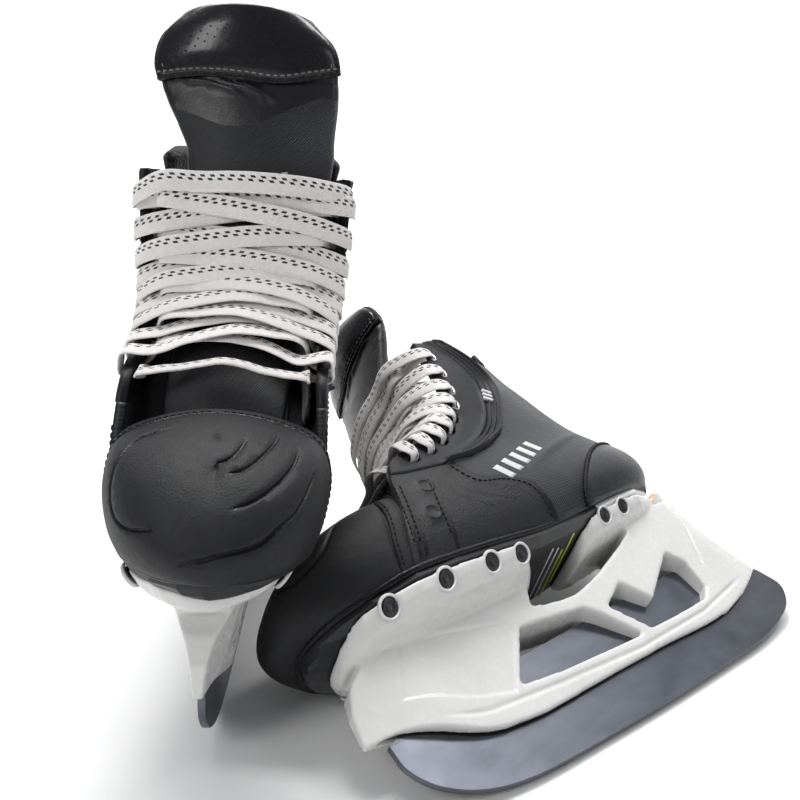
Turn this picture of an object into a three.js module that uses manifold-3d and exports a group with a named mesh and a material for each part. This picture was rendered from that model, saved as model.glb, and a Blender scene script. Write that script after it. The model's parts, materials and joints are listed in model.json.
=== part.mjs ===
// A pair of ice hockey skates: the right one stands on its runner, the left one lies beside it on its inner side.
// Millimetres, +Z up, origin on the floor under the middle of the pair's bounding box.
// Each skate is designed in its own frame: x towards the toe, y towards the little toe (lateral), z up,
// with the origin on the ice under the middle of the foot. The right skate is the mirror image of the left one.

import * as THREE from "three";
import { mergeVertices } from "three/addons/utils/BufferGeometryUtils.js";
import Module from "manifold-3d";

const wasm = await Module();
wasm.setup();

// ---------------------------------------------------------------- driving dimensions (mm)
const GAP = 0.3; // between touching pieces
const MERGE = 0.04; // facets flatter than this are merged
const WALL = 4; // boot shell thickness
const LINER_THICKNESS = 5;
const RUNNER_THICKNESS = 3;
const RUNNER_SLOT = 0.4; // play of the runner in the holder, each side
const TOE_CAP_THICKNESS = 3;
const TOE_SWING = 5; // how far the toe turns in towards the big toe
const TONGUE_THICKNESS = 7;
const TONGUE_SAG = 7; // how far its sides fall back
const GUARD_HINGE_Z = 239;
const RIVET_HEAD_R = 4;
const RIVET_SHANK_R = 2;
const LACE_WIDTH = 6; // where it is folded to pass an eyelet
const LACE_CROSSING_WIDTH = 8.2;
const LACE_THICKNESS = 1.4;
const EYELET_SLOT = [7.4, 4.6]; // along and across the row of eyelets
const EYELET_SETBACK = 8; // eyelet centre to the front edge of the eyestay

// Where the two skates stand: the runner's middle on the floor, the heading of the toe, and the roll to one side.
const RIGHT_PLACE = { x: -83, y: 394, heading: -84.7, roll: 0 };
const LEFT_PLACE = { x: 131, y: 315, heading: -141.6, roll: 66 };

// Boot wall: stacked U-shaped lines from the sole to the top rim. Each gives [x, half width, z] at the front
// edge, the instep and the heel's side, and [x, z] at the back.
const WALL_LINES = [
  { front: [105, 38.5, 84], mid: [20, 34, 90], heel: [-80, 29, 104.5], back: [-112, 108] },
  { front: [101, 43, 98], mid: [18, 40, 102], heel: [-86, 34, 115], back: [-121, 119] },
  { front: [94, 44.5, 116], mid: [15, 43, 116], heel: [-87, 35, 128], back: [-123.5, 131] },
  { front: [88, 44, 132], mid: [10, 43.5, 133], heel: [-80, 33, 145], back: [-113, 149] },
  { front: [79, 43, 147], mid: [2, 42, 150], heel: [-70, 32, 162], back: [-101, 166] },
  { front: [46, 44.5, 160], mid: [-8, 42.5, 170], heel: [-62, 33, 181], back: [-95, 184] },
  { front: [20, 47, 179], mid: [-18, 44, 190], heel: [-58, 34, 200], back: [-91, 203] },
  { front: [11, 50, 203], mid: [-25, 47, 211], heel: [-55, 35, 218], back: [-86, 219] },
  { front: [4, 52, 238], mid: [-26, 48.5, 239], heel: [-54, 37, 234], back: [-82, 231] },
];
const COLLAR_LINE = { front: [-10, 50, 249], mid: [-32, 47, 254], heel: [-54, 37, 252], back: [-78, 249] };

// Sole line [x, z, half width, middle]: where the boot's wall meets the outsole.
const SOLE_LINE = [
  [149, 87, 3, -5], [146, 86, 12, -4.6], [138, 85, 22.5, -3.6], [126, 84, 31, -2], [106, 84, 38.3, 0], [80, 85.6, 38.6, 0],
  [50, 87.6, 36.8, 0], [20, 90, 33.6, 0], [-5, 93.4, 31.6, 0], [-36, 98.6, 30.6, 0], [-60, 102, 30, 0],
  [-80, 104.5, 28.6, 0], [-98, 106.4, 21.4, 0], [-108, 107.6, 11, 0], [-111, 108, 3, 0],
];

// Toe cap arcs over the toe, [x, y or 0, z]: the arc at its rear edge, and the arc straight ahead.
const CAP_REAR_ARC = [[105.6, 38.5, 84], [101.8, 43, 98], [95.6, 44.6, 114], [93, 40, 126], [92, 23, 134], [91.5, 0, 137]];
const CAP_FRONT_ARC = [[149.5, 0, 87], [158.5, 0, 90.5], [162, 0, 98], [157, 0, 110], [148, 0, 118.5], [134, 0, 125.5]];

// Eyelets [x, z], from the toe to the collar.
const EYELETS = [
  [65, 145], [50.5, 149], [38, 154.5], [27.5, 161.5], [19, 169.5], [12, 179.5], [7, 191.5], [3, 206], [0, 222],
];

// Outlines in the x-z plane.
const EYESTAY_OUTLINE = [
  [96, 138], [78, 136.5], [47, 137.5], [31, 139], [11, 145.5], [-8, 156], [-21, 169], [-33, 184], [-40, 197],
  [-41, 208], [-36, 222], [-25, 233], [-14, 246], [30, 246], [60, 200], [96, 175],
];
const COUNTER_OUTLINE = [
  [-26, 88], [-29, 103], [-48, 121], [-70, 134], [-92, 141], [-135, 146], [-140, 96],
];
const HOLDER_OUTLINE = [
  [147.5, 31], [134, 30.5], [115.5, 27.5], [88, 21.5], [64, 19.8], [20, 21.5], [-30, 22.8], [-67, 22.6], [-90, 24],
  [-114, 29], [-134, 36], [-149.5, 42], [-142.5, 57], [-135, 76], [-131.5, 96], [-131, 105], [-124, 109], [-113, 97],
  [-75, 94], [-62, 91], [-60, 84.5], [-48, 79], [-17.5, 68], [-7, 65], [7, 62], [20, 62], [38, 63.5], [31, 78],
  [90, 76], [128, 73], [142, 62], [146, 52],
];
const BACK_EDGE = [[105, -131], [96, -131.5], [76, -135], [57, -142.5], [42, -149.5], [31, -150]];
const FRONT_WINDOW = [[52, 56.5], [70, 34], [44, 32.2], [0, 31.5], [-18, 31.5], [0, 49], [8, 54.3], [38, 56]];
const REAR_WINDOW = [
  [-8, 50.5], [-27, 59.5], [-42, 45.5], [-77, 66], [-87, 57], [-87, 40.5], [-80, 35], [-58, 33.5], [-26, 32.5],
];
const RUNNER_OUTLINE = [
  [138, 36], [137.4, 25], [126, 12.6], [115.5, 7], [102.5, 3], [82, 0.5], [44, 0], [-2, 0], [-58, 1.7], [-103, 4.2],
  [-138, 11.5], [-149, 17], [-156.5, 26], [-151, 40], [-140, 43.5], [-118, 41], [-118, 61], [-106, 61], [-106, 56],
  [-112, 56], [-112, 38], [-105, 33], [-90, 28.5], [-67, 27], [-30, 27.2], [20, 26], [64, 24.2], [88, 26],
  [108, 31], [113, 43], [121, 43], [123, 36],
];
const RUNNER_HINGE = [136, 34]; // front hook, about which the released runner swings down
const BOLT_HEAD = [-133, 110]; // centre of the bolt's head, behind the heel
const BOLT_LENGTH = 34;
const BOLT_SLOPE = 44; // degrees: the bolt runs down and forwards into the rear tower
const FRONT_RIVETS = [121, 92, 62, 39.5]; // x stations
const REAR_RIVETS = [-40, -60];
const RIVET_LENGTH = 8;
const TONGUE_LINE = [
  [88, 131], [81, 142], [72, 152], [61, 161], [51, 169.5], [43, 178], [36.5, 187], [32, 197], [28.5, 209], [25, 223],
  [20.5, 244],
];
const TONGUE_TOP_LINE = [[19.7, 247.5], [15.5, 262], [9.5, 281], [7.5, 294], [6, 306], [3, 316]];

// ---------------------------------------------------------------- helpers
const V = (x, y, z) => new THREE.Vector3(x, y, z);
const lerp = THREE.MathUtils.lerp;
const rad = THREE.MathUtils.degToRad;

// A closed three.js geometry as a manifold solid with its faces out.
function solid(geometry) {
  const plain = new THREE.BufferGeometry();
  const source = geometry.index ? geometry.toNonIndexed() : geometry;
  plain.setAttribute("position", source.getAttribute("position"));
  const merged = mergeVertices(plain, 1e-4);
  const triVerts = new Uint32Array(merged.index.array);
  const vertProperties = new Float32Array(merged.attributes.position.array);
  const made = new wasm.Manifold(new wasm.Mesh({ numProp: 3, vertProperties, triVerts }));
  if (made.volume() > 0) return made;
  for (let i = 0; i < triVerts.length; i += 3) {
    [triVerts[i + 1], triVerts[i + 2]] = [triVerts[i + 2], triVerts[i + 1]];
  }
  return new wasm.Manifold(new wasm.Mesh({ numProp: 3, vertProperties, triVerts }));
}

function geometryOf(manifold) {
  const mesh = manifold.simplify(MERGE).getMesh();
  const positions = new Float32Array(mesh.numVert * 3);
  for (let i = 0; i < mesh.numVert; i++) {
    positions.set(mesh.vertProperties.subarray(i * mesh.numProp, i * mesh.numProp + 3), i * 3);
  }
  const geometry = new THREE.BufferGeometry();
  geometry.setAttribute("position", new THREE.BufferAttribute(positions, 3));
  geometry.setIndex(new THREE.BufferAttribute(new Uint32Array(mesh.triVerts), 1));
  return geometry;
}

// Triangles from quads and fans of points.
class Faces {
  constructor() {
    this.positions = [];
  }
  triangle(a, b, c) {
    for (const p of [a, b, c]) this.positions.push(p.x, p.y, p.z);
  }
  quad(a, b, c, d) {
    this.triangle(a, b, c);
    this.triangle(a, c, d);
  }
  fan(ring, reversed) {
    const centre = ring.reduce((sum, p) => sum.add(p), V(0, 0, 0)).divideScalar(ring.length);
    ring.forEach((p, i) => {
      const q = ring[(i + 1) % ring.length];
      if (reversed) this.triangle(centre, q, p);
      else this.triangle(centre, p, q);
    });
  }
  geometry() {
    const geometry = new THREE.BufferGeometry();
    geometry.setAttribute("position", new THREE.Float32BufferAttribute(this.positions, 3));
    return geometry;
  }
}

// A solid through closed rings that all have the same number of points.
function loft(rings) {
  const faces = new Faces();
  for (let k = 0; k + 1 < rings.length; k++) {
    const [a, b] = [rings[k], rings[k + 1]];
    a.forEach((_, i) => {
      const j = (i + 1) % a.length;
      faces.quad(a[i], a[j], b[j], b[i]);
    });
  }
  faces.fan(rings[0], true);
  faces.fan(rings[rings.length - 1], false);
  return solid(faces.geometry());
}

// A solid sheet between two grids of points, rows by columns.
function sheet(outer, inner) {
  const faces = new Faces();
  const rows = outer.length - 1;
  const columns = outer[0].length - 1;
  for (let k = 0; k < rows; k++) {
    for (let j = 0; j < columns; j++) {
      faces.quad(outer[k][j], outer[k][j + 1], outer[k + 1][j + 1], outer[k + 1][j]);
      faces.quad(inner[k][j], inner[k + 1][j], inner[k + 1][j + 1], inner[k][j + 1]);
    }
    faces.quad(outer[k][0], outer[k + 1][0], inner[k + 1][0], inner[k][0]);
    faces.quad(outer[k][columns], inner[k][columns], inner[k + 1][columns], outer[k + 1][columns]);
  }
  for (let j = 0; j < columns; j++) {
    faces.quad(outer[0][j], inner[0][j], inner[0][j + 1], outer[0][j + 1]);
    faces.quad(outer[rows][j], outer[rows][j + 1], inner[rows][j + 1], inner[rows][j]);
  }
  return solid(faces.geometry());
}

// An outline in the x-z plane pushed out along y from y0 to y1.
function plate(outline, y0, y1) {
  const shape = new THREE.Shape(outline.map(([x, z]) => new THREE.Vector2(x, z)));
  const geometry = new THREE.ExtrudeGeometry(shape, { depth: y1 - y0, bevelEnabled: false, steps: 1 });
  geometry.rotateX(Math.PI / 2);
  geometry.translate(0, y1, 0);
  return solid(geometry);
}

// A cylinder of radius r from point a to point b.
function rod(a, b, r, sides = 16) {
  const geometry = new THREE.CylinderGeometry(r, r, a.distanceTo(b), sides);
  geometry.applyQuaternion(new THREE.Quaternion().setFromUnitVectors(V(0, 1, 0), b.clone().sub(a).normalize()));
  const middle = a.clone().add(b).multiplyScalar(0.5);
  geometry.translate(middle.x, middle.y, middle.z);
  return solid(geometry);
}

// The value at x of a line given as rows [x, ...values] with x falling.
function along(line, x, column) {
  for (let i = 0; i + 1 < line.length; i++) {
    if (x <= line[i][0] && x >= line[i + 1][0]) {
      const t = (line[i][0] - x) / (line[i][0] - line[i + 1][0]);
      return lerp(line[i][column], line[i + 1][column], t);
    }
  }
  return x > line[0][0] ? line[0][column] : line[line.length - 1][column];
}

// ---------------------------------------------------------------- boot wall
// One wall line as a smooth curve from the lateral front edge round the heel to the medial one.
function wallCurve({ front, mid, heel, back }) {
  const shoulder = [lerp(heel[0], back[0], 0.72), heel[1] * 0.68, lerp(heel[2], back[1], 0.72)];
  const half = [front, mid, heel, shoulder].map(([x, w, z]) => V(x, w, z));
  const mirrored = half.map((p) => V(p.x, -p.y, p.z)).reverse();
  return new THREE.CatmullRomCurve3([...half, V(back[0], 0, back[1]), ...mirrored], false, "centripetal");
}

// The wall surface as a grid of points, pushed out along its normal by offset.
function wallGrid(lines, offset, columns = 22) {
  const grid = lines.map((line) => {
    const curve = wallCurve(line);
    return Array.from({ length: columns + 1 }, (_, j) => curve.getPoint(j / columns));
  });
  const last = grid.length - 1;
  return grid.map((row, k) =>
    row.map((p, j) => {
      const across = row[Math.min(j + 1, columns)].clone().sub(row[Math.max(j - 1, 0)]);
      const up = grid[Math.min(k + 1, last)][j].clone().sub(grid[Math.max(k - 1, 0)][j]);
      return p.clone().addScaledVector(across.cross(up).normalize(), offset);
    }),
  );
}

// The point of the lateral wall surface at (x, z), and the outward normal there.
const WALL_SAMPLES = wallGrid(WALL_LINES, 0, 80).map((row) => row.slice(0, 33));
function wallPoint(x, z) {
  let best = null;
  for (let k = 0; k + 1 < WALL_SAMPLES.length; k++) {
    for (let j = 0; j < WALL_SAMPLES[k].length; j++) {
      const [a, b] = [WALL_SAMPLES[k][j], WALL_SAMPLES[k + 1][j]];
      const t = THREE.MathUtils.clamp((z - a.z) / (b.z - a.z), 0, 1);
      const p = a.clone().lerp(b, t);
      const miss = Math.hypot(p.x - x, p.z - z);
      if (!best || miss < best.miss) best = { miss, y: p.y };
    }
  }
  return V(x, best.y, z);
}

function mirrorY(manifold) {
  return manifold.mirror([0, 1, 0]);
}

const side = (outline, y0 = 4, y1 = 80) => plate(outline, y0, y1);
const bothSides = (outline) => plate(outline, -80, 80);

// Steps along and across the eyelet row at eyelet i, in the x-z plane.
function eyeletFrame(i) {
  const a = EYELETS[Math.max(i - 1, 0)];
  const b = EYELETS[Math.min(i + 1, EYELETS.length - 1)];
  const row = V(b[0] - a[0], 0, b[1] - a[1]).normalize();
  return { row, forward: V(row.z, 0, -row.x) };
}

function eyeletSlots() {
  const slots = EYELETS.map(([x, z], i) => {
    const { row, forward } = eyeletFrame(i);
    const corner = (u, v) => {
      const p = V(x, 0, z).addScaledVector(row, (u * EYELET_SLOT[0]) / 2).addScaledVector(forward, (v * EYELET_SLOT[1]) / 2);
      return [p.x, p.z];
    };
    return side([corner(-1, -1), corner(-1, 1), corner(1, 1), corner(1, -1)]);
  });
  return wasm.Manifold.union(slots);
}

function bootWallPieces() {
  const wall = sheet(wallGrid(WALL_LINES, 0), wallGrid(WALL_LINES, -WALL));
  const proud = sheet(wallGrid(WALL_LINES, 1), wallGrid(WALL_LINES, -WALL));
  const eyestay = side(EYESTAY_OUTLINE);
  const eyestays = eyestay.add(mirrorY(eyestay));
  const eyestayLateral = proud.intersect(eyestay).subtract(eyeletSlots());
  const grownEyestays = wasm.Manifold.union([
    eyestays,
    ...[[GAP, 0], [-GAP, 0], [0, GAP], [0, -GAP]].map(([dx, dz]) => eyestays.translate([dx, 0, dz])),
  ]);
  const counter = bothSides(COUNTER_OUTLINE);
  const grownCounter = wasm.Manifold.union([
    counter,
    ...[[GAP, 0], [0, GAP], [0, -GAP]].map(([dx, dz]) => counter.translate([dx, 0, dz])),
  ]);
  return {
    quarter_shell: wall.subtract(grownEyestays).subtract(grownCounter),
    eyestay_lateral: eyestayLateral,
    eyestay_medial: mirrorY(eyestayLateral),
    heel_counter: proud.intersect(counter),
  };
}

// Padded liner: inside the wall, rising above its rim as the ankle collar, and set back behind the eyelets.
function liner() {
  const lines = [...WALL_LINES.slice(1), COLLAR_LINE];
  const outside = -WALL - 0.9;
  const padding = sheet(wallGrid(lines, outside), wallGrid(lines, outside - LINER_THICKNESS));
  const throat = side(
    [[120, 100], [96, 104], [60, 128], [38, 137], [14, 146], [-2, 158], [-10, 175], [-14, 200], [-15, 226], [-22, 262],
      [60, 262], [120, 200]], -80, 80,
  );
  return padding.subtract(throat);
}

// Flexible guard behind the tendon, standing on the shell's rear rim.
function tendonGuard() {
  const rows = 3;
  const columns = 10;
  const spread = rad(56);
  const grid = (radiusStep) =>
    Array.from({ length: rows + 1 }, (_, k) =>
      Array.from({ length: columns + 1 }, (_, j) => {
        const angle = lerp(-spread, spread, j / columns);
        const edge = Math.abs(angle) / spread;
        const height = k / rows;
        const z = GUARD_HINGE_Z + 1.5 * edge + height * (24 - 14 * edge * edge);
        const reach = 37 + 2.5 * height + radiusStep;
        return V(-47 - reach * Math.cos(angle), -(38.5 + radiusStep) * Math.sin(angle), z);
      }),
    );
  return sheet(grid(0), grid(-4.5));
}

// ---------------------------------------------------------------- toe cap
// A dome over the toe, shrunk by inset; its rear edge and rim can be carried on to cut right through.
function toeDome(inset, rearExtra, rimExtra) {
  const columns = 20;
  const arcs = CAP_REAR_ARC.map((rear, k) => {
    const front = CAP_FRONT_ARC[k];
    const drop = k === 0 ? rimExtra : 0;
    return Array.from({ length: columns + 1 }, (_, j) => {
      const angle = lerp(Math.PI / 2, -Math.PI / 2, j / columns);
      const [c, s] = [Math.abs(Math.cos(angle)), Math.abs(Math.sin(angle))];
      const x = rear[0] - rearExtra + (front[0] - inset - rear[0] + rearExtra) * c;
      const y = Math.sin(angle) < 0 ? -1.04 * Math.max(rear[1] - inset, 0) * s : Math.max(rear[1] - inset, 0) * s;
      const rise = k >= 3 ? inset * [0, 0, 0, 0.7, 0.95, 1][k] : 0;
      return V(x, y - TOE_SWING * c, lerp(front[2], rear[2], s ** 1.5) - rise - drop);
    });
  });
  const faces = new Faces();
  for (let k = 0; k + 1 < arcs.length; k++) {
    for (let j = 0; j < columns; j++) faces.quad(arcs[k][j], arcs[k][j + 1], arcs[k + 1][j + 1], arcs[k + 1][j]);
  }
  const lateral = arcs.map((row) => row[0]);
  const medial = arcs.map((row) => row[columns]).reverse();
  faces.fan([...lateral, ...medial.slice(1)], false);
  faces.fan(arcs[0], true);
  return solid(faces.geometry());
}

// ---------------------------------------------------------------- sole
// Cross-sections of the outsole, thick in the middle and thin at its edge; the holder's flanges nest under it.
const SOLE_SECTION = [[1, 0], [1, -2.6], [0.8, -5.2], [0.45, -6.4], [0, -6.6]];
function soleRing(x, z, halfWidth, middle, heights) {
  const down = heights.map(([share, drop]) => V(x, middle + share * halfWidth, z + drop));
  const mirrored = down.slice(0, -1).map((p) => V(p.x, 2 * middle - p.y, p.z)).reverse();
  return [...down, ...mirrored];
}

function outsoleAndWedge() {
  const whole = loft(SOLE_LINE.map(([x, z, w, middle]) => soleRing(x, z - GAP, w, middle, SOLE_SECTION)));
  const cut = -36;
  const front = plate([[cut, 60], [160, 60], [160, 120], [cut, 120]], -60, 60);
  const rear = plate([[-130, 60], [cut - GAP, 60], [cut - GAP, 120], [-130, 120]], -60, 60);
  return { outsole: whole.intersect(front), heel_wedge: whole.intersect(rear) };
}

function footbed() {
  const rows = SOLE_LINE.filter(([x]) => x < 139 && x > -100);
  const section = [[1, 4.2], [1, 1], [0.5, 0.6], [0, 0.6]];
  return loft(rows.map(([x, z, w, middle]) => soleRing(x, z, Math.min(w, 36) - 10.5, middle, section)));
}

// ---------------------------------------------------------------- tongue
// A curved pad behind a line of [x, z]; halfWidth(z) gives its width and sag(z) how far its sides fall back.
function tonguePad(line, halfWidth, sag) {
  const curve = new THREE.CatmullRomCurve3(line.map(([x, z]) => V(x, 0, z)), false, "centripetal");
  const rows = line.length - 1;
  const columns = 8;
  const grid = (depth) =>
    Array.from({ length: rows + 1 }, (_, k) => {
      const p = curve.getPoint(k / rows);
      const t = curve.getTangent(k / rows);
      const back = V(-t.z, 0, t.x);
      return Array.from({ length: columns + 1 }, (_, j) => {
        const share = lerp(1, -1, j / columns);
        const thin = depth * (1 - 0.45 * share ** 4);
        return p.clone().addScaledVector(back, thin + sag(p.z) * share * share).add(V(0, share * halfWidth(p.z), 0));
      });
    });
  return sheet(grid(0), grid(TONGUE_THICKNESS));
}

const lowerTongueWidth = (z) => lerp(26.5, 33, THREE.MathUtils.clamp((z - 130) / 110, 0, 1));
const upperTongueWidth = (z) => (z < 290 ? lerp(33.5, 45, (z - 247) / 43) : lerp(45, 30, ((z - 290) / 26) ** 2));

// ---------------------------------------------------------------- holder and runner
// Flange under the boot between two stations, its skirt flaring out to the sole's edge.
function flange(stations) {
  const section = [[1, -3.4], [1.01, -5], [0.93, -9], [0.78, -12.5], [0.45, -15.5], [0, -15.5]];
  const top = [[0, -7.2], [0.45, -7], [0.78, -5.8]];
  return loft(stations.map(([x, w]) => {
    const z = along(SOLE_LINE, x, 1);
    const half = [...top, ...section].map(([share, drop]) => V(x, share * w, z + drop));
    const mirrored = half.slice(1, -1).map((p) => V(p.x, -p.y, p.z)).reverse();
    return [...half, ...mirrored];
  }));
}

const FRONT_FLANGE = [
  [139.5, 7], [137, 16], [131, 25], [121, 31.5], [106, 37.4], [84, 38.4], [60, 37], [44, 35.8], [34.5, 32], [29, 24],
  [27.5, 13],
];
const REAR_FLANGE = [
  [-19, 14], [-21, 22], [-27, 27.5], [-40, 29.6], [-60, 29.2], [-80, 27.6], [-98, 20.4], [-110, 9],
];

// Half thickness of the holder's towers and beam at height z.
const towerHalfWidth = (z) => 6 + 0.18 * (z - 24);

// Where a rivet's head sits on the skirt of a flange, and which way it faces.
function rivetFrame(x, stations) {
  return { place: V(x, along(stations, x, 1) * 0.955, along(SOLE_LINE, x, 1) - 7.7), out: V(0, 0.8, -0.6) };
}

const rivetFrames = () => [
  ...FRONT_RIVETS.map((x, i) => ({ name: `front_rivet_${i + 1}`, ...rivetFrame(x, FRONT_FLANGE) })),
  ...REAR_RIVETS.map((x, i) => ({ name: `rear_rivet_${i + 1}`, ...rivetFrame(x, REAR_FLANGE) })),
];

function rivets() {
  const pieces = {};
  for (const { name, place, out } of rivetFrames()) {
    const at = (distance) => place.clone().addScaledVector(out, distance);
    const piece = rod(at(-1.7), at(-0.3), RIVET_HEAD_R, 8).add(rod(at(-RIVET_LENGTH), at(-1), RIVET_SHANK_R, 6));
    pieces[`${name}_lateral`] = piece;
    pieces[`${name}_medial`] = mirrorY(piece);
  }
  return pieces;
}

// Countersinks for the heads and holes for the shanks.
function rivetSeats() {
  const seats = rivetFrames().flatMap(({ place, out }) => {
    const at = (distance) => place.clone().addScaledVector(out, distance);
    const seat = rod(at(-2), at(6), RIVET_HEAD_R + 1, 8).add(rod(at(-RIVET_LENGTH - 0.4), at(0), RIVET_SHANK_R + 0.4, 6));
    return [seat, mirrorY(seat)];
  });
  return wasm.Manifold.union(seats);
}

const boltDirection = V(-Math.cos(rad(BOLT_SLOPE)), 0, Math.sin(rad(BOLT_SLOPE)));
const boltHead = V(BOLT_HEAD[0], 0, BOLT_HEAD[1]);
const boltAt = (distance) => boltHead.clone().addScaledVector(boltDirection, distance);

function releaseBolt() {
  const head = rod(boltAt(-3.5), boltAt(2), 4.4, 6);
  const collar = rod(boltAt(-5), boltAt(-3), 5.2, 18);
  const tip = rod(boltAt(2), boltAt(4.5), 2.6, 12);
  const shank = rod(boltAt(-BOLT_LENGTH), boltAt(-4), 2.5, 12);
  return wasm.Manifold.union([head, collar, tip, shank]);
}

// Steel hook in the rear tower that holds the runner's rear hook up.
const HOOK_OUTLINE = [
  [-116, 66], [-104.4, 66], [-104.4, 55.6], [-110.5, 55.6], [-110.5, 50.5], [-99, 50.5], [-99, 84], [-104.9, 89.7],
  [-116, 78.3],
];
const HOOK_POCKET = [[-119.5, 38], [-119.5, 77], [-106, 91.5], [-93.5, 86], [-93.5, 38]];
const FRONT_POCKET = [[106, 25], [110.5, 45.5], [125, 45.5], [128, 38.5], [141, 38.5], [141, 25]];
const RUNNER_CHANNEL = [
  [141, 38.5], [124, 38.5], [107, 33], [88, 27], [64, 25], [20, 26.8], [-30, 28], [-67, 27.8], [-90, 29.3], [-105, 33.6],
  [-112, 42], [-140, 46], [-152, 43], [-160, 10], [141, 10],
];

// The holder's plan at each height: a narrow nose, straight flanks and a rounded back.
function holderEnvelope() {
  return loft([18, 42, 57, 76, 96, 112].map((z) => {
    const w = towerHalfWidth(z);
    const back = along(BACK_EDGE, z, 1);
    const half = [
      [back, 0.25], [back + 5, 0.55], [back + 13, 0.82], [back + 26, 1], [80, 1.05], [110, 1.1], [125, 1], [138, 0.72], [149, 0.4],
    ].map(([x, share]) => V(x, share * w, z));
    return [...half, ...half.map((p) => V(p.x, -p.y, p.z)).reverse()];
  }));
}

function holder(sole, seats) {
  const halfSlot = RUNNER_THICKNESS / 2 + RUNNER_SLOT;
  const body = plate(HOLDER_OUTLINE, -40, 40)
    .intersect(holderEnvelope())
    .subtract(plate(FRONT_WINDOW, -50, 50))
    .subtract(plate(REAR_WINDOW, -50, 50));
  const boss = rod(boltAt(-22), boltAt(-5.2), 7.5, 16);
  const boltBore = rod(boltAt(-BOLT_LENGTH - 3), boltAt(4), 2.9, 12).add(rod(boltAt(-5.5), boltAt(6), 5.8, 18));
  return wasm.Manifold.union([body, flange(FRONT_FLANGE), flange(REAR_FLANGE), boss])
    .subtract(plate(RUNNER_CHANNEL, -halfSlot, halfSlot))
    .subtract(plate(HOOK_POCKET, -halfSlot, halfSlot))
    .subtract(plate(FRONT_POCKET, -halfSlot, halfSlot))
    .subtract(sole.translate([0, 0, -GAP]))
    .subtract(seats)
    .subtract(boltBore);
}

// ---------------------------------------------------------------- lace
// The route of the lace: from a tucked end down through the eyelets on alternate sides, across the bottom bar
// inside the boot, and back up. hand is +1 at a lateral eyelet and -1 at a medial one.
const LACE_CLEAR = 2.1; // lace centre above the surface it lies on
function laceAt(i, hand, forwardBy, outBy) {
  const { row, forward } = eyeletFrame(i);
  const [x, z] = EYELETS[i];
  const p = V(x, 0, z).addScaledVector(forward, forwardBy);
  p.y = hand * (wallPoint(p.x, p.z).y + outBy);
  return { p, row };
}

// Up through eyelet i from inside, and over the eyestay's front edge.
function laceOut(i, hand) {
  return [
    { ...laceAt(i, hand, 2.2, -WALL - 2.6), width: LACE_WIDTH },
    { ...laceAt(i, hand, 0, -WALL / 2), width: LACE_WIDTH },
    { ...laceAt(i, hand, 1.5, 1 + LACE_CLEAR), width: LACE_WIDTH },
    { ...laceAt(i, hand, 6.5, 1 + LACE_CLEAR), width: LACE_CROSSING_WIDTH },
    { ...laceAt(i, hand, EYELET_SETBACK + 4.4, 1.2), width: LACE_CROSSING_WIDTH },
  ];
}

// How far it is from p along the forward direction to the front of the tongue, whose sides fall back.
function tongueReach(p, forward) {
  const share = Math.min(Math.abs(p.y) / lowerTongueWidth(p.z), 1);
  const reaches = TONGUE_LINE.slice(1).map(([x1, z1], n) => {
    const [x0, z0] = TONGUE_LINE[n];
    const across = forward.x * (z1 - z0) - forward.z * (x1 - x0);
    const s = ((x0 - p.x) * (z1 - z0) - (z0 - p.z) * (x1 - x0)) / across;
    const t = ((x0 - p.x) * forward.z - (z0 - p.z) * forward.x) / across;
    return t >= 0 && t <= 1 ? s : -Infinity;
  });
  return Math.max(...reaches, 0) - TONGUE_SAG * share * share;
}

// Across the tongue from eyelet i on one side to eyelet k on the other; over is +1 for the upper strand.
function laceAcross(i, k, hand, over) {
  return [0.12, 0.3, 0.5, 0.7, 0.88].map((u) => {
    const start = laceAt(i, hand, EYELET_SETBACK, -2);
    const end = laceAt(k, -hand, EYELET_SETBACK, -2);
    const p = start.p.lerp(end.p, u);
    const row = start.row.lerp(end.row, u).normalize();
    const forward = V(row.z, 0, -row.x);
    const height = lerp(5.4, 2.6, u) + 1.6 * over + Math.max(1.4 - 0.35 * i, 0);
    return { p: p.addScaledVector(forward, tongueReach(p, forward) + height), row, width: LACE_CROSSING_WIDTH };
  });
}

function laceRoute() {
  const top = EYELETS.length - 1;
  const sideUp = (hand) => {
    const stops = [];
    let at = hand;
    for (let i = 0; i < top; i++) {
      stops.push(...laceOut(i, at), ...laceAcross(i, i + 1, at, hand));
      at = -at;
    }
    stops.push(...laceOut(top, at));
    const tail = laceAcross(top, top, at, hand).slice(0, 4);
    tail.forEach(({ p }, n) => p.add(V(0, 0, hand > 0 ? 4 + 2 * n : 0)));
    return [...stops, ...tail];
  };
  const bar = [-0.9, -0.5, 0, 0.5, 0.9].map((u) => {
    const { p, row } = laceAt(0, 1, 2, -WALL - 2.6);
    p.y *= u;
    const forward = V(row.z, 0, -row.x);
    return { p: p.addScaledVector(forward, tongueReach(p, forward) + 2.6), row, width: LACE_WIDTH };
  });
  return [...sideUp(-1).reverse(), ...bar, ...sideUp(1)];
}

function lace() {
  const route = laceRoute();
  const curve = new THREE.CatmullRomCurve3(route.map(({ p }) => p), false, "centripetal");
  const steps = Math.round((route.length - 1) * 1.5);
  const rings = Array.from({ length: steps + 1 }, (_, n) => {
    const t = n / steps;
    const tangent = curve.getTangent(t);
    const at = t * (route.length - 1);
    const i = Math.min(Math.floor(at), route.length - 2);
    const row = route[i].row.clone().lerp(route[i + 1].row, at - i);
    const half = lerp(route[i].width, route[i + 1].width, at - i) / 2;
    const width = row.addScaledVector(tangent, -row.dot(tangent)).normalize().multiplyScalar(half);
    const thick = tangent.clone().cross(width).normalize().multiplyScalar(LACE_THICKNESS / 2);
    const c = curve.getPoint(t);
    const corner = (a, b) => c.clone().addScaledVector(width, a).addScaledVector(thick, b);
    return [corner(1, 1), corner(-1, 1), corner(-1, -1), corner(1, -1)];
  });
  return loft(rings);
}

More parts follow.
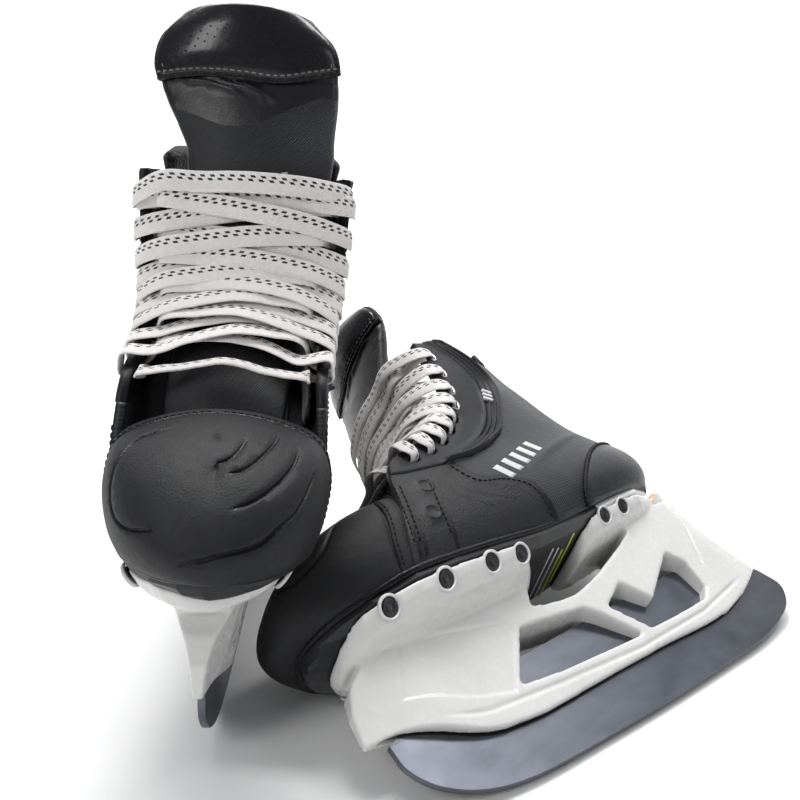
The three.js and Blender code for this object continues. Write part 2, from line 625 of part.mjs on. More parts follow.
// ---------------------------------------------------------------- one skate
const FINISH = {
  toe_cap: [0x17181a, 0.55, 0], quarter_shell: [0x1d1e21, 0.5, 0], eyestay_lateral: [0x121315, 0.6, 0],
  eyestay_medial: [0x121315, 0.6, 0], heel_counter: [0x1b1c20, 0.4, 0], liner: [0x0f0f10, 0.95, 0],
  tendon_guard: [0x151618, 0.6, 0], outsole: [0x0c0c0d, 0.5, 0], heel_wedge: [0xd9dbd8, 0.4, 0],
  footbed: [0x3a3c3f, 0.9, 0], tongue_lower: [0x141416, 0.5, 0], tongue_top: [0x141416, 0.45, 0],
  holder: [0xe6e7e3, 0.3, 0], blade: [0x6d7078, 0.3, 1], lock_hook: [0x8d9096, 0.4, 1],
  release_bolt: [0xc9714a, 0.3, 1], lace: [0xd8d4cc, 0.9, 0], rivet: [0x46484c, 0.45, 1],
};

function skatePieces() {
  const half = RUNNER_THICKNESS / 2;
  const seats = rivetSeats();
  const { outsole, heel_wedge } = outsoleAndWedge();
  return {
    toe_cap: toeDome(0, 0, 0).subtract(toeDome(TOE_CAP_THICKNESS, 8, 6)),
    ...bootWallPieces(),
    liner: liner(),
    tendon_guard: tendonGuard(),
    outsole: outsole.subtract(seats),
    heel_wedge: heel_wedge.subtract(seats),
    footbed: footbed(),
    tongue_lower: tonguePad(TONGUE_LINE, lowerTongueWidth, () => TONGUE_SAG),
    tongue_top: tonguePad(TONGUE_TOP_LINE, upperTongueWidth, (z) => lerp(TONGUE_SAG, 11, (z - 247) / 69)),
    holder: holder(outsole.add(heel_wedge), seats),
    blade: plate(RUNNER_OUTLINE, -half, half),
    lock_hook: plate(HOOK_OUTLINE, -half, half),
    release_bolt: releaseBolt(),
    lace: lace(),
    ...rivets(),
  };
}

function skate(prefix, pieces, place, mirrored) {
  const group = new THREE.Group();
  for (const [name, manifold] of Object.entries(pieces)) {
    const [color, roughness, metalness] = FINISH[name] ?? FINISH.rivet;
    const material = new THREE.MeshStandardMaterial({ color, roughness, metalness });
    const mesh = new THREE.Mesh(geometryOf(manifold), material);
    mesh.name = `${prefix}_${name}`;
    group.add(mesh);
  }
  const rolled = new THREE.Group();
  rolled.rotation.x = rad(place.roll);
  if (mirrored) group.scale.y = -1;
  rolled.add(group);
  const placed = new THREE.Group();
  placed.add(rolled);
  placed.rotation.z = rad(place.heading);
  placed.position.set(place.x, place.y, 0);
  return placed;
}

// Sets a skate down on the floor.
function restOnFloor(object) {
  object.updateMatrixWorld(true);
  object.position.z -= new THREE.Box3().setFromObject(object, true).min.z;
  return object;
}

const pieces = skatePieces();
const pair = new THREE.Group();
pair.add(restOnFloor(skate("left", pieces, LEFT_PLACE, false)));
pair.add(restOnFloor(skate("right", pieces, RIGHT_PLACE, true)));
pair.updateMatrixWorld(true);
const middle = new THREE.Box3().setFromObject(pair, true).getCenter(V(0, 0, 0));
pair.position.set(-middle.x, -middle.y, 0);

export default pair;
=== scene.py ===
"""A pair of ice hockey skates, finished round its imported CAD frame.

Each skate is shaped in its own frame, in millimetres: x towards the toe, y towards the little toe (lateral),
z up, with the origin on the ice under the middle of the foot. The right skate is the left one's mirror image.
"""

import json
import math

import bmesh
import bpy
import numpy as np
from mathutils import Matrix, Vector
from mathutils.geometry import delaunay_2d_cdt
from mathutils.kdtree import KDTree


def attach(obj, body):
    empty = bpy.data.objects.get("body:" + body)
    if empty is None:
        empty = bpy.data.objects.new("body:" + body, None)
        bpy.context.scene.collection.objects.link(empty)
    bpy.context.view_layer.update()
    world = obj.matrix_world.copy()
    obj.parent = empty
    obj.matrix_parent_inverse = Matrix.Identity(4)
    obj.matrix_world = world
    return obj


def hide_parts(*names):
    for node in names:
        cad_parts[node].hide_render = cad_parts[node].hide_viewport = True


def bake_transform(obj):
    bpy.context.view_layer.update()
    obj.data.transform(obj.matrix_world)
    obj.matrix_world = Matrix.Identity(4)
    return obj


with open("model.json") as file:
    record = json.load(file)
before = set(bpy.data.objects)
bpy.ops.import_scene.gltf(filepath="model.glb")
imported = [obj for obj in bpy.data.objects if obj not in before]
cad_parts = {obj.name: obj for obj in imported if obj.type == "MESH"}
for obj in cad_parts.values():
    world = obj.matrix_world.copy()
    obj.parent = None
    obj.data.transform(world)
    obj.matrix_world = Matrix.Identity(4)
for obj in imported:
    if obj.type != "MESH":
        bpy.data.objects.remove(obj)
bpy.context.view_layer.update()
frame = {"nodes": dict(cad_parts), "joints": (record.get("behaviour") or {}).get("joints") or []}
JOINTS = {joint["name"]: joint for joint in frame["joints"]}

# ---------------------------------------------------------------- driving dimensions (mm), as in the CAD part
MM = 0.001
WALL = 4
LINER_THICKNESS = 5
RUNNER_THICKNESS = 3
TOE_SWING = 5
TONGUE_THICKNESS = 7
TONGUE_SAG = 7
GUARD_HINGE_Z = 239
LACE_WIDTH = 6
LACE_CROSSING_WIDTH = 10.2
LACE_THICKNESS = 1.7
LACE_CLEAR = 2.1
EYELET_SLOT = (7.4, 4.6)
EYELET_SETBACK = 8
BOLT_SLOPE = math.radians(44)
BOLT_HEAD = np.array([-133.0, 0.0, 110.0])
BOLT_LENGTH = 34
BOLT_SEAT = 5.1  # mm from the middle of the bolt's head down to its seat
BOLT_SEAT_RADIUS = 20

# Boot wall: front edge, instep and heel side as [x, half width, z], and the back as [x, z].
WALL_LINES = [
    ([105, 38.5, 84], [20, 34, 90], [-80, 29, 104.5], [-112, 108]),
    ([101, 43, 98], [18, 40, 102], [-86, 34, 115], [-121, 119]),
    ([94, 44.5, 116], [15, 43, 116], [-87, 35, 128], [-123.5, 131]),
    ([88, 44, 132], [10, 43.5, 133], [-80, 33, 145], [-113, 149]),
    ([79, 43, 147], [2, 42, 150], [-70, 32, 162], [-101, 166]),
    ([46, 44.5, 160], [-8, 42.5, 170], [-62, 33, 181], [-95, 184]),
    ([20, 47, 179], [-18, 44, 190], [-58, 34, 200], [-91, 203]),
    ([11, 50, 203], [-25, 47, 211], [-55, 35, 218], [-86, 219]),
    ([4, 52, 238], [-26, 48.5, 239], [-54, 37, 234], [-82, 231]),
]
COLLAR_LINE = ([-10, 50, 246], [-32, 47, 253], [-54, 37, 254], [-78, 251])
SOLE_LINE = [
    (149, 87, 3, -5), (146, 86, 12, -4.6), (138, 85, 22.5, -3.6), (126, 84, 31, -2), (106, 84, 38.3, 0),
    (80, 85.6, 38.6, 0), (50, 87.6, 36.8, 0), (20, 90, 33.6, 0), (-5, 93.4, 31.6, 0), (-36, 98.6, 30.6, 0),
    (-60, 102, 30, 0), (-80, 104.5, 28.6, 0), (-98, 106.4, 21.4, 0), (-108, 107.6, 11, 0), (-111, 108, 3, 0),
]
CAP_REAR_ARC = [(105.6, 38.5, 84), (101.8, 43, 98), (95.6, 44.6, 114), (93, 40, 126), (92, 23, 134), (91.5, 0, 137)]
CAP_FRONT_ARC = [(149.5, 87), (158.5, 90.5), (162, 98), (157, 110), (148, 118.5), (134, 125.5)]
EYELETS = [
    (65, 145), (50.5, 149), (38, 154.5), (27.5, 161.5), (19, 169.5), (12, 179.5), (7, 191.5), (3, 206), (0, 222),
]
EYESTAY_OUTLINE = [
    (96, 138), (78, 136.5), (47, 137.5), (31, 139), (11, 145.5), (-8, 156), (-21, 169), (-33, 184), (-40, 197),
    (-41, 208), (-36, 222), (-25, 233), (-14, 246), (30, 246), (60, 200), (96, 175),
]
COUNTER_SEAM = [(-26, 88), (-29, 103), (-48, 121), (-70, 134), (-92, 141), (-114, 144)]
TONGUE_LINE = [
    (88, 131), (81, 142), (72, 152), (61, 161), (51, 169.5), (43, 178), (36.5, 187), (32, 197), (28.5, 209),
    (25, 223), (20.5, 244),
]
TONGUE_TOP_LINE = [(15.5, 262), (9.5, 281), (7.5, 294), (6, 306), (3, 316)]
RUNNER_HINGE = (136, 34)
RUNNER_OUTLINE = [
    (138, 36), (137.2, 26), (131.5, 17.2), (123.5, 10.9), (113.5, 6.1), (101.5, 2.8), (82, 0.5), (44, 0), (-2, 0), (-58, 1.7),
    (-103, 4.2), (-138, 11.5), (-149, 17), (-156.5, 26), (-151, 40), (-140, 43.5), (-118, 41), (-118, 61),
    (-106, 61), (-106, 56), (-112, 56), (-112, 38), (-105, 33), (-90, 28.5), (-67, 27), (-30, 27.2), (20, 26),
    (64, 24.2), (88, 26), (108, 31), (113, 43), (121, 43), (123, 36),
]


# ---------------------------------------------------------------- frames of the two skates
def skate_frame(prefix):
    """A skate's axes (toe, lateral, up) as columns and its origin, in the row frame, from its own joints."""
    hand = 1 if prefix == "left" else -1
    lateral = hand * np.array(JOINTS[prefix + "_tongue_flex"]["axis"])
    bolt = np.array(JOINTS[prefix + "_bolt_turn"]["axis"])
    across = hand * np.cross(lateral, bolt)
    toe = -math.cos(BOLT_SLOPE) * bolt + math.sin(BOLT_SLOPE) * across
    up = math.sin(BOLT_SLOPE) * bolt + math.cos(BOLT_SLOPE) * across
    axes = np.stack([toe, lateral, up], axis=1)
    origin = np.array(JOINTS[prefix + "_bolt_turn"]["pos_m"]) - axes @ BOLT_HEAD * MM
    return axes, origin


SKATES = {prefix: skate_frame(prefix) for prefix in ("left", "right")}


def to_row(prefix, points):
    axes, origin = SKATES[prefix]
    return np.asarray(points, float) @ axes.T * MM + origin


# ---------------------------------------------------------------- pieces
def add_piece(name, points, faces, materials, slot, body="skate", nodes=(), picks=None, attributes=None):
    """Makes a piece on both skates. picks gives each face's material; nodes are the CAD nodes it stands for."""
    made = {}
    for prefix in SKATES:
        mesh = bpy.data.meshes.new(f"{prefix}_{name}")
        order = faces if prefix == "left" else [tuple(reversed(face)) for face in faces]
        mesh.from_pydata(to_row(prefix, points).tolist(), [], order)
        local = mesh.attributes.new("local", "FLOAT_VECTOR", "POINT")
        local.data.foreach_set("vector", np.asarray(points, np.float32).ravel())
        for key, values in (attributes or {}).items():
            field = mesh.attributes.new(key, "FLOAT", "POINT")
            field.data.foreach_set("value", np.asarray(values, np.float32))
        for material in materials:
            mesh.materials.append(material)
        if picks is not None:
            mesh.polygons.foreach_set("material_index", np.asarray(picks, np.int32))
        mesh.shade_smooth()
        piece = bpy.data.objects.new(f"{prefix}_{name}_look", mesh)
        bpy.context.scene.collection.objects.link(piece)
        if isinstance(body, str):
            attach(piece, f"{prefix}_{body}")
        if nodes:
            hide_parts(*[f"{prefix}_{node}" for node in nodes])
        made[prefix] = piece
    return made


def finish_cad_node(node, material, bevel=0.4, top=None):
    """Keeps a CAD node and gives it rounded edges and its material; top is a second material, facing up."""
    for prefix, (axes, origin) in SKATES.items():
        piece = frame["nodes"][f"{prefix}_{node}"]
        piece.data.materials.clear()
        piece.data.materials.append(material)
        if top:
            piece.data.materials.append(top)
            up = Vector(axes[:, 2])
            for face in piece.data.polygons:
                face.material_index = int(face.normal.dot(up) > 0.6)
        co = np.zeros(len(piece.data.vertices) * 3, np.float32)
        piece.data.vertices.foreach_get("co", co)
        local = (co.reshape(-1, 3) - origin) @ axes / MM
        field = piece.data.attributes.new("local", "FLOAT_VECTOR", "POINT")
        field.data.foreach_set("vector", local.astype(np.float32).ravel())
        rounding = piece.modifiers.new("rounding", "BEVEL")
        rounding.width = bevel * MM
        rounding.segments = 2
        rounding.limit_method = "ANGLE"
        rounding.angle_limit = math.radians(28)
        normals = piece.modifiers.new("normals", "WEIGHTED_NORMAL")
        normals.keep_sharp = True
        piece.data.shade_smooth()


# ---------------------------------------------------------------- curves and surfaces
def spline(points, count):
    """count points of the centripetal Catmull-Rom curve through points; extra axes are carried along."""
    p = np.asarray(points, float)
    p = np.concatenate([[2 * p[0] - p[1]], p, [2 * p[-1] - p[-2]]])
    t = np.linspace(0, len(p) - 3, count)
    i = np.minimum(t.astype(int), len(p) - 4)
    w = (t - i).reshape((-1,) + (1,) * (p.ndim - 1))
    a, b, c, d = (p[i + k] for k in range(4))
    s0, s1, s2 = (
        np.maximum(np.linalg.norm(q - r, axis=-1, keepdims=True), 1e-6) ** 0.5 for q, r in ((b, a), (c, b), (d, c))
    )
    m1 = ((b - a) / s0 - (c - a) / (s0 + s1) + (c - b) / s1) * s1
    m2 = ((c - b) / s1 - (d - b) / (s1 + s2) + (d - c) / s2) * s1
    return b + m1 * w + (3 * (c - b) - 2 * m1 - m2) * w**2 + (2 * (b - c) + m1 + m2) * w**3


def even(points, step):
    """Points along an open line, about step apart."""
    p = np.asarray(points, float)
    run = np.concatenate([[0], np.cumsum(np.linalg.norm(np.diff(p, axis=0), axis=1))])
    count = max(int(round(run[-1] / step)), 1) + 1
    at = np.linspace(0, run[-1], count)
    return np.stack([np.interp(at, run, p[:, k]) for k in range(p.shape[1])], axis=1)


def smooth_step(x):
    x = np.clip(x, 0, 1)
    return x * x * (3 - 2 * x)


def unit(v):
    return v / np.maximum(np.linalg.norm(v, axis=-1, keepdims=True), 1e-9)


def grid_faces(rows, columns, closed=False, first=0):
    """Quads of a grid of points; closed joins the last column to the first."""
    width = columns if closed else columns - 1
    return [
        (
            first + r * columns + c,
            first + r * columns + (c + 1) % columns,
            first + (r + 1) * columns + (c + 1) % columns,
            first + (r + 1) * columns + c,
        )
        for r in range(rows - 1)
        for c in range(width)
    ]


def tube_grid(rings, capped=True):
    """Points and faces of a tube through rings of equal size."""
    rows, columns = rings.shape[:2]
    points = rings.reshape(-1, 3)
    faces = grid_faces(rows, columns, closed=True)
    if capped:
        faces.append(tuple(range(columns))[::-1])
        faces.append(tuple(range((rows - 1) * columns, rows * columns)))
    return points, faces


def inside(points, outline):
    """Which of the 2-D points lie inside a closed outline."""
    x, y = points[:, 0], points[:, 1]
    odd = np.zeros(len(points), bool)
    a = np.asarray(outline, float)
    for (x0, y0), (x1, y1) in zip(a, np.roll(a, -1, axis=0)):
        if y0 == y1:
            continue
        crosses = ((y0 > y) != (y1 > y)) & (x < (x1 - x0) * (y - y0) / (y1 - y0) + x0)
        odd ^= crosses
    return odd


def distance_to(points, line, closed=False):
    """Distance of 2-D points to a line, and how far along it (0 to 1) the nearest place is."""
    a = np.asarray(line, float)
    if closed:
        a = np.vstack([a, a[:1]])
    lengths = np.linalg.norm(np.diff(a, axis=0), axis=1)
    run = np.concatenate([[0], np.cumsum(lengths)])
    best = np.full(len(points), 1e9)
    share = np.zeros(len(points))
    for k, (p, q) in enumerate(zip(a[:-1], a[1:])):
        if lengths[k] < 1e-9:
            continue
        t = np.clip((points - p) @ (q - p) / lengths[k] ** 2, 0, 1)
        d = np.linalg.norm(points - p - t[:, None] * (q - p), axis=1)
        closer = d < best
        best[closer] = d[closer]
        share[closer] = (run[k] + t[closer] * lengths[k]) / run[-1]
    return best, share


class Surface:
    """A smooth surface as a fine grid of points. Places on it are (U, V), in about millimetres across and up."""

    def __init__(self, grid, width, height):
        self.grid = grid
        self.size = np.array([width, height], float)
        self.rows, self.columns = grid.shape[:2]
        across = np.gradient(grid, axis=1)
        up = np.gradient(grid, axis=0)
        self.normals = unit(np.cross(across, up))

    def read(self, table, places):
        share = np.clip(places / self.size, 0, 1)
        c = share[:, 0] * (self.columns - 1)
        r = share[:, 1] * (self.rows - 1)
        c0 = np.minimum(c.astype(int), self.columns - 2)
        r0 = np.minimum(r.astype(int), self.rows - 2)
        fc = (c - c0)[:, None]
        fr = (r - r0)[:, None]
        low = table[r0, c0] * (1 - fc) + table[r0, c0 + 1] * fc
        high = table[r0 + 1, c0] * (1 - fc) + table[r0 + 1, c0 + 1] * fc
        return low * (1 - fr) + high * fr

    def at(self, places, lift=0.0):
        places = np.asarray(places, float)
        normal = unit(self.read(self.normals, places))
        return self.read(self.grid, places) + normal * np.reshape(lift, (-1, 1))

    def normal(self, places):
        return unit(self.read(self.normals, np.asarray(places, float)))

    def locate(self, points, weights, columns=None):
        """The places nearest to 3-D points, with each axis weighted; columns limits the search."""
        scale = np.array(weights, float)
        last = columns or self.columns
        table = self.grid[:, :last] * scale
        tree = KDTree(table.shape[0] * table.shape[1])
        for k, p in enumerate(table.reshape(-1, 3)):
            tree.insert(Vector(p), k)
        tree.balance()
        places = []
        for p in np.asarray(points, float) * scale:
            r, c = divmod(tree.find(Vector(p))[1], last)
            r = min(max(r, 1), self.rows - 2)
            c = min(max(c, 1), last - 2)
            slope = np.stack([table[r, c + 1] - table[r, c - 1], table[r + 1, c] - table[r - 1, c]], axis=1) / 2
            step = np.clip(np.linalg.lstsq(slope, p - table[r, c], rcond=None)[0], -1.5, 1.5)
            places.append([(c + step[0]) / (self.columns - 1), (r + step[1]) / (self.rows - 1)])
        return np.clip(np.array(places), 0, 1) * self.size


class Patch:
    """Triangles of a surface that follow the outlines and creases drawn on it."""

    def __init__(self, surface, spacing):
        self.surface = surface
        self.spacing = spacing
        self.points = []
        self.edges = []
        self.creases = []

    def draw(self, line, offsets=(0,), closed=False, step=1.6):
        """Adds a line whose middle is kept as edges; offsets are parallel rows of points beside it."""
        line = np.asarray(line, float)
        fine = even(np.vstack([line, line[:1]]) if closed else line, step)
        tangent = unit(np.gradient(fine, axis=0))
        normal = np.stack([-tangent[:, 1], tangent[:, 0]], axis=1)
        for offset in offsets:
            row = np.clip(fine + offset * normal, 0, self.surface.size)
            first = len(self.points)
            self.points.extend(row.tolist())
            if offset == 0:
                self.edges.extend((first + k, first + k + 1) for k in range(len(row) - 1))

    def crease(self, line, width, height, fade=0.0, gloss_painted_shade=False):
        """A ridge (or a groove, height below 0) along a line; fade is the share at each end that dies out. A flagged
        groove takes the groove material, whose darker colour is painted shade in the crease.
        """
        half = width / 2
        self.draw(line, (-half, -half / 2, 0, half / 2, half))
        self.creases.append((np.asarray(line, float), half, height, fade, gloss_painted_shade))

    def triangulate(self):
        drawn = np.array(self.points).reshape(-1, 2)
        width, height = self.surface.size
        u = np.linspace(0, width, int(width / self.spacing) + 1)
        v = np.linspace(0, height, int(height / self.spacing) + 1)
        base = np.array([(a, b) for b in v for a in u])
        if len(drawn):
            tree = KDTree(len(drawn))
            for k, p in enumerate(drawn):
                tree.insert(Vector((p[0], p[1], 0)), k)
            tree.balance()
            rim = (base[:, 0] % width == 0) | (base[:, 1] % height == 0)
            near = np.array([tree.find(Vector((p[0], p[1], 0)))[2] for p in base])
            base = base[(near > 0.35 * self.spacing) | rim]
        every = np.vstack([drawn, base])
        made = delaunay_2d_cdt([Vector(p) for p in every], self.edges, [], 0, 1e-4, False)
        self.places = np.array([tuple(p) for p in made[0]])
        self.triangles = np.array([f for f in made[2] if len(f) == 3])
        self.centres = self.places[self.triangles].mean(axis=1)
        a, b, c = (self.places[self.triangles[:, k]] for k in range(3))
        area = (b[:, 0] - a[:, 0]) * (c[:, 1] - a[:, 1]) - (b[:, 1] - a[:, 1]) * (c[:, 0] - a[:, 0])
        keep = np.abs(area) > 1e-5
        flip = area < 0
        self.triangles[flip] = self.triangles[flip][:, ::-1]
        self.triangles = self.triangles[keep]
        self.centres = self.centres[keep]

    def relief(self, places):
        """Height of all the creases at some places."""
        height = np.zeros(len(places))
        for line, half, top, fade, _ in self.creases:
            d, share = distance_to(places, line)
            profile = np.clip(1 - (d / half) ** 2, 0, 1) ** 1.5
            if fade:
                profile *= smooth_step(share / fade) * smooth_step((1 - share) / fade)
            if top > 0:
                height = np.maximum(height, top * profile)
            else:
                height += top * profile
        return height

    # Faces of the flagged grooves, which take the darker groove material: painted shade in the crease.
    def in_painted_shade_crease(self, places):
        gloss_painted_shade = np.zeros(len(places), bool)
        for line, half, _, fade, has_painted_shade in self.creases:
            if has_painted_shade:
                d, share = distance_to(places, line)
                ends = np.minimum(share, 1 - share) > 0.3 * fade
                gloss_painted_shade |= (d < half * 0.9) & ends
        return gloss_painted_shade

    def shell(self, chosen, lift, thickness):
        """A closed shell of the chosen triangles: lifted outside, and thickness down to its inside."""
        triangles = self.triangles[chosen]
        used, index = np.unique(triangles, return_inverse=True)
        triangles = index.reshape(-1, 3)
        places = self.places[used]
        outer = self.surface.at(places, lift(places))
        inner = self.surface.at(places, -thickness)
        count = len(used)
        edges = {}
        for a, b, c in triangles.tolist():
            for edge in ((a, b), (b, c), (c, a)):
                edges[edge] = True
        rim = [edge for edge in edges if (edge[1], edge[0]) not in edges]
        faces = [tuple(t) for t in triangles.tolist()]
        faces += [(c + count, b + count, a + count) for a, b, c in triangles.tolist()]
        faces += [(b, a, a + count, b + count) for a, b in rim]
        return np.vstack([outer, inner]), faces, len(triangles)


# ---------------------------------------------------------------- materials
class Shader:
    """A Principled material built up from a few named looks, laid out in the skate's own millimetres."""

    def __init__(self, name, color, roughness, metallic=0.0, coat=0.0, coat_roughness=0.1, specular=0.2, sheen=0.0):
        self.material = bpy.data.materials.new(name)
        self.material.use_nodes = True
        self.tree = self.material.node_tree
        self.shader = self.tree.nodes["Principled BSDF"]
        self.shader.inputs["Base Color"].default_value = (*color, 1)
        self.shader.inputs["Roughness"].default_value = roughness
        self.shader.inputs["Metallic"].default_value = metallic
        self.shader.inputs["Coat Weight"].default_value = coat
        self.shader.inputs["Coat Roughness"].default_value = coat_roughness
        self.shader.inputs["Specular IOR Level"].default_value = specular
        self.shader.inputs["Sheen Weight"].default_value = sheen
        self.color = color
        self.roughness = roughness
        self.bump_output = None
        place = self.node("ShaderNodeAttribute")
        place.attribute_name = "local"
        self.local = place.outputs["Vector"]

    def node(self, kind, **settings):
        made = self.tree.nodes.new(kind)
        for key, value in settings.items():
            setattr(made, key, value)
        return made

    def link(self, output, socket):
        self.tree.links.new(output, socket)

    def attribute(self, name):
        made = self.node("ShaderNodeAttribute")
        made.attribute_name = name
        return made.outputs["Fac"]

    def math(self, operation, a, b=None, clamp=False):
        made = self.node("ShaderNodeMath", operation=operation, use_clamp=clamp)
        for socket, value in zip(made.inputs, (a, b)):
            if value is None:
                continue
            if isinstance(value, (int, float)):
                socket.default_value = value
            else:
                self.link(value, socket)
        return made.outputs[0]

    def stretched(self, scale, rotation=(0, 0, 0)):
        made = self.node("ShaderNodeMapping")
        made.inputs["Scale"].default_value = scale
        made.inputs["Rotation"].default_value = rotation
        self.link(self.local, made.inputs["Vector"])
        return made.outputs[0]

    def noise(self, scale, detail=3.0, roughness=0.55, vector=None):
        made = self.node("ShaderNodeTexNoise")
        made.inputs["Scale"].default_value = scale
        made.inputs["Detail"].default_value = detail
        made.inputs["Roughness"].default_value = roughness
        self.link(vector or self.local, made.inputs["Vector"])
        return made.outputs["Fac"]

    def cells(self, scale, feature="F1", vector=None):
        made = self.node("ShaderNodeTexVoronoi", feature=feature)
        made.inputs["Scale"].default_value = scale
        self.link(vector or self.local, made.inputs["Vector"])
        return made.outputs["Distance"]

    def wave(self, scale, direction="X", distortion=0.0, vector=None):
        made = self.node("ShaderNodeTexWave", bands_direction=direction)
        made.inputs["Scale"].default_value = scale
        made.inputs["Distortion"].default_value = distortion
        self.link(vector or self.local, made.inputs["Vector"])
        return made.outputs["Fac"]

    def ramp(self, value, stops):
        made = self.node("ShaderNodeValToRGB")
        ramp = made.color_ramp
        while len(ramp.elements) < len(stops):
            ramp.elements.new(0.5)
        for element, (position, color) in zip(ramp.elements, stops):
            element.position = position
            element.color = (*color, 1) if len(color) == 3 else color
        self.link(value, made.inputs[0])
        return made.outputs["Color"]

    def tint(self, value, low, high):
        """Base colour runs from low to high times the material's own colour."""
        dark = tuple(low * c for c in self.color)
        light = tuple(high * c for c in self.color)
        self.link(self.ramp(value, [(0.25, dark), (0.75, light)]), self.shader.inputs["Base Color"])
        return self

    def wear(self, value, low, high):
        """Roughness runs from low to high."""
        spread = self.node("ShaderNodeMapRange")
        spread.inputs["To Min"].default_value = low
        spread.inputs["To Max"].default_value = high
        self.link(value, spread.inputs["Value"])
        self.link(spread.outputs[0], self.shader.inputs["Roughness"])
        return self

    def bump(self, value, depth, strength=1.0):
        """Adds a bump of depth millimetres."""
        made = self.node("ShaderNodeBump")
        made.inputs["Strength"].default_value = strength
        made.inputs["Distance"].default_value = depth * MM
        self.link(value, made.inputs["Height"])
        if self.bump_output:
            self.link(self.bump_output, made.inputs["Normal"])
        self.bump_output = made.outputs["Normal"]
        self.link(self.bump_output, self.shader.inputs["Normal"])
        return self


def grained(name, color, roughness, grain=1.6, depth=0.12, **look):
    """Moulded plastic or synthetic leather with a fine pebble grain."""
    made = Shader(name, color, roughness, **look)
    made.bump(made.cells(grain), depth)
    made.bump(made.noise(0.15), 0.25)
    made.tint(made.noise(0.06, 5), 0.8, 1.25)
    made.wear(made.noise(0.35, 4), roughness - 0.07, roughness + 0.08)
    return made.material


def woven(name, color, roughness, pitch=2.2, **look):
    """Twill of flat fibre tows under a clear skin."""
    made = Shader(name, color, roughness, **look)
    turned = made.stretched((1, 1, 1), (0, math.radians(38), 0))
    parts = made.node("ShaderNodeSeparateXYZ")
    made.link(turned, parts.inputs[0])
    across = made.math("SINE", made.math("MULTIPLY", parts.outputs["X"], 2 * math.pi / pitch))
    step = made.math("SINE", made.math("MULTIPLY", parts.outputs["Z"], 2 * math.pi / pitch))
    weave = made.math("MULTIPLY", across, step)
    lifted = made.math("MULTIPLY_ADD", weave, 0.5)
    lifted.node.inputs[2].default_value = 0.5
    made.bump(lifted, 0.16)
    made.bump(made.noise(2.5, 2), 0.05)
    mixed = made.math("ADD", made.math("MULTIPLY", lifted, 0.5), made.math("MULTIPLY", made.noise(0.08, 4), 0.5))
    made.tint(mixed, 0.6, 1.5)
    made.wear(made.noise(0.3, 3), roughness - 0.06, roughness + 0.1)
    return made.material


def ribbed_leather(name, color, roughness):
    """Synthetic leather with fine diagonal ribs."""
    made = Shader(name, color, roughness, specular=0.35, coat=0.05, coat_roughness=0.3)
    turned = made.stretched((1, 1, 1), (math.radians(-42), 0, 0))
    made.bump(made.wave(0.33, "Y", vector=turned), 0.22)
    made.bump(made.noise(1.8, 3), 0.08)
    made.tint(made.noise(0.08, 4), 0.75, 1.3)
    made.wear(made.noise(0.3, 4), roughness - 0.08, roughness + 0.08)
    return made.material


def knitted(name, color, roughness=0.92):
    """Soft spacer mesh."""
    made = Shader(name, color, roughness, sheen=0.25)
    made.bump(made.cells(0.62, "F1"), 0.5)
    made.bump(made.noise(1.5, 3), 0.15)
    made.tint(made.cells(0.62, "F1"), 0.7, 1.5)
    return made.material


def braid(name, color):
    """The lace: a herringbone braid with two lines of dark tracer dashes. run and across come from the mesh."""
    made = Shader(name, color, 0.88, sheen=0.3)
    run = made.attribute("run")
    across = made.attribute("across")
    slant = made.math("MULTIPLY", made.math("ABSOLUTE", across), 2.4)
    rows = made.math("SINE", made.math("MULTIPLY", made.math("ADD", run, slant), 2 * math.pi / 1.15))
    columns = made.math("SINE", made.math("MULTIPLY", across, 34.0))
    made.bump(made.math("MULTIPLY", rows, columns), 0.16)
    made.bump(made.noise(3.0, 3), 0.12)
    made.bump(made.noise(0.5, 3), 0.3)
    dashes = None
    for place, shift in ((0.18, 0.0), (0.52, 2.4)):
        lane = made.math("LESS_THAN", made.math("ABSOLUTE", made.math("SUBTRACT", across, place)), 0.11)
        slid = made.math("ADD", run, made.math("MULTIPLY", across, 4.0))
        beat = made.math("SINE", made.math("MULTIPLY", made.math("ADD", slid, shift), 2 * math.pi / 4.8))
        dash = made.math("MULTIPLY", lane, made.math("GREATER_THAN", beat, 0.1))
        dashes = dash if dashes is None else made.math("MAXIMUM", dashes, dash)
    cloth = made.ramp(made.noise(0.4, 4), [(0.2, tuple(0.86 * c for c in color)), (0.8, color)])
    mix = made.node("ShaderNodeMix", data_type="RGBA")
    made.link(dashes, mix.inputs[0])
    made.link(cloth, mix.inputs["A"])
    mix.inputs["B"].default_value = (0.012, 0.012, 0.014, 1)
    made.link(mix.outputs["Result"], made.shader.inputs["Base Color"])
    return made.material


def steel(name, color, roughness, brushed=True):
    """Ground steel: fine scratches along the skate and cloudy marks."""
    made = Shader(name, color, roughness, metallic=1.0)
    if brushed:
        streaks = made.noise(1.0, 4, 0.6, made.stretched((0.03, 2.0, 1.6), (0, math.radians(8), 0)))
        made.bump(streaks, 0.03)
        clouds = made.noise(0.02, 6, 0.6, made.stretched((1.0, 1.0, 2.6), (0, math.radians(-24), 0)))
        made.tint(clouds, 0.72, 1.22)
        made.wear(made.noise(0.06, 5), roughness - 0.06, roughness + 0.12)
    else:
        made.tint(made.noise(0.6, 4), 0.8, 1.2)
        made.bump(made.noise(2.0, 3), 0.03)
    return made.material


def moulded(name, color, roughness, **look):
    """Smooth injection-moulded plastic with faint flow marks."""
    made = Shader(name, color, roughness, **look)
    made.bump(made.noise(0.05, 3), 0.15)
    made.bump(made.noise(1.4, 3), 0.01)
    made.tint(made.noise(0.03, 4), 0.95, 1.03)
    made.wear(made.noise(0.25, 4), roughness - 0.05, roughness + 0.07)
    return made.material


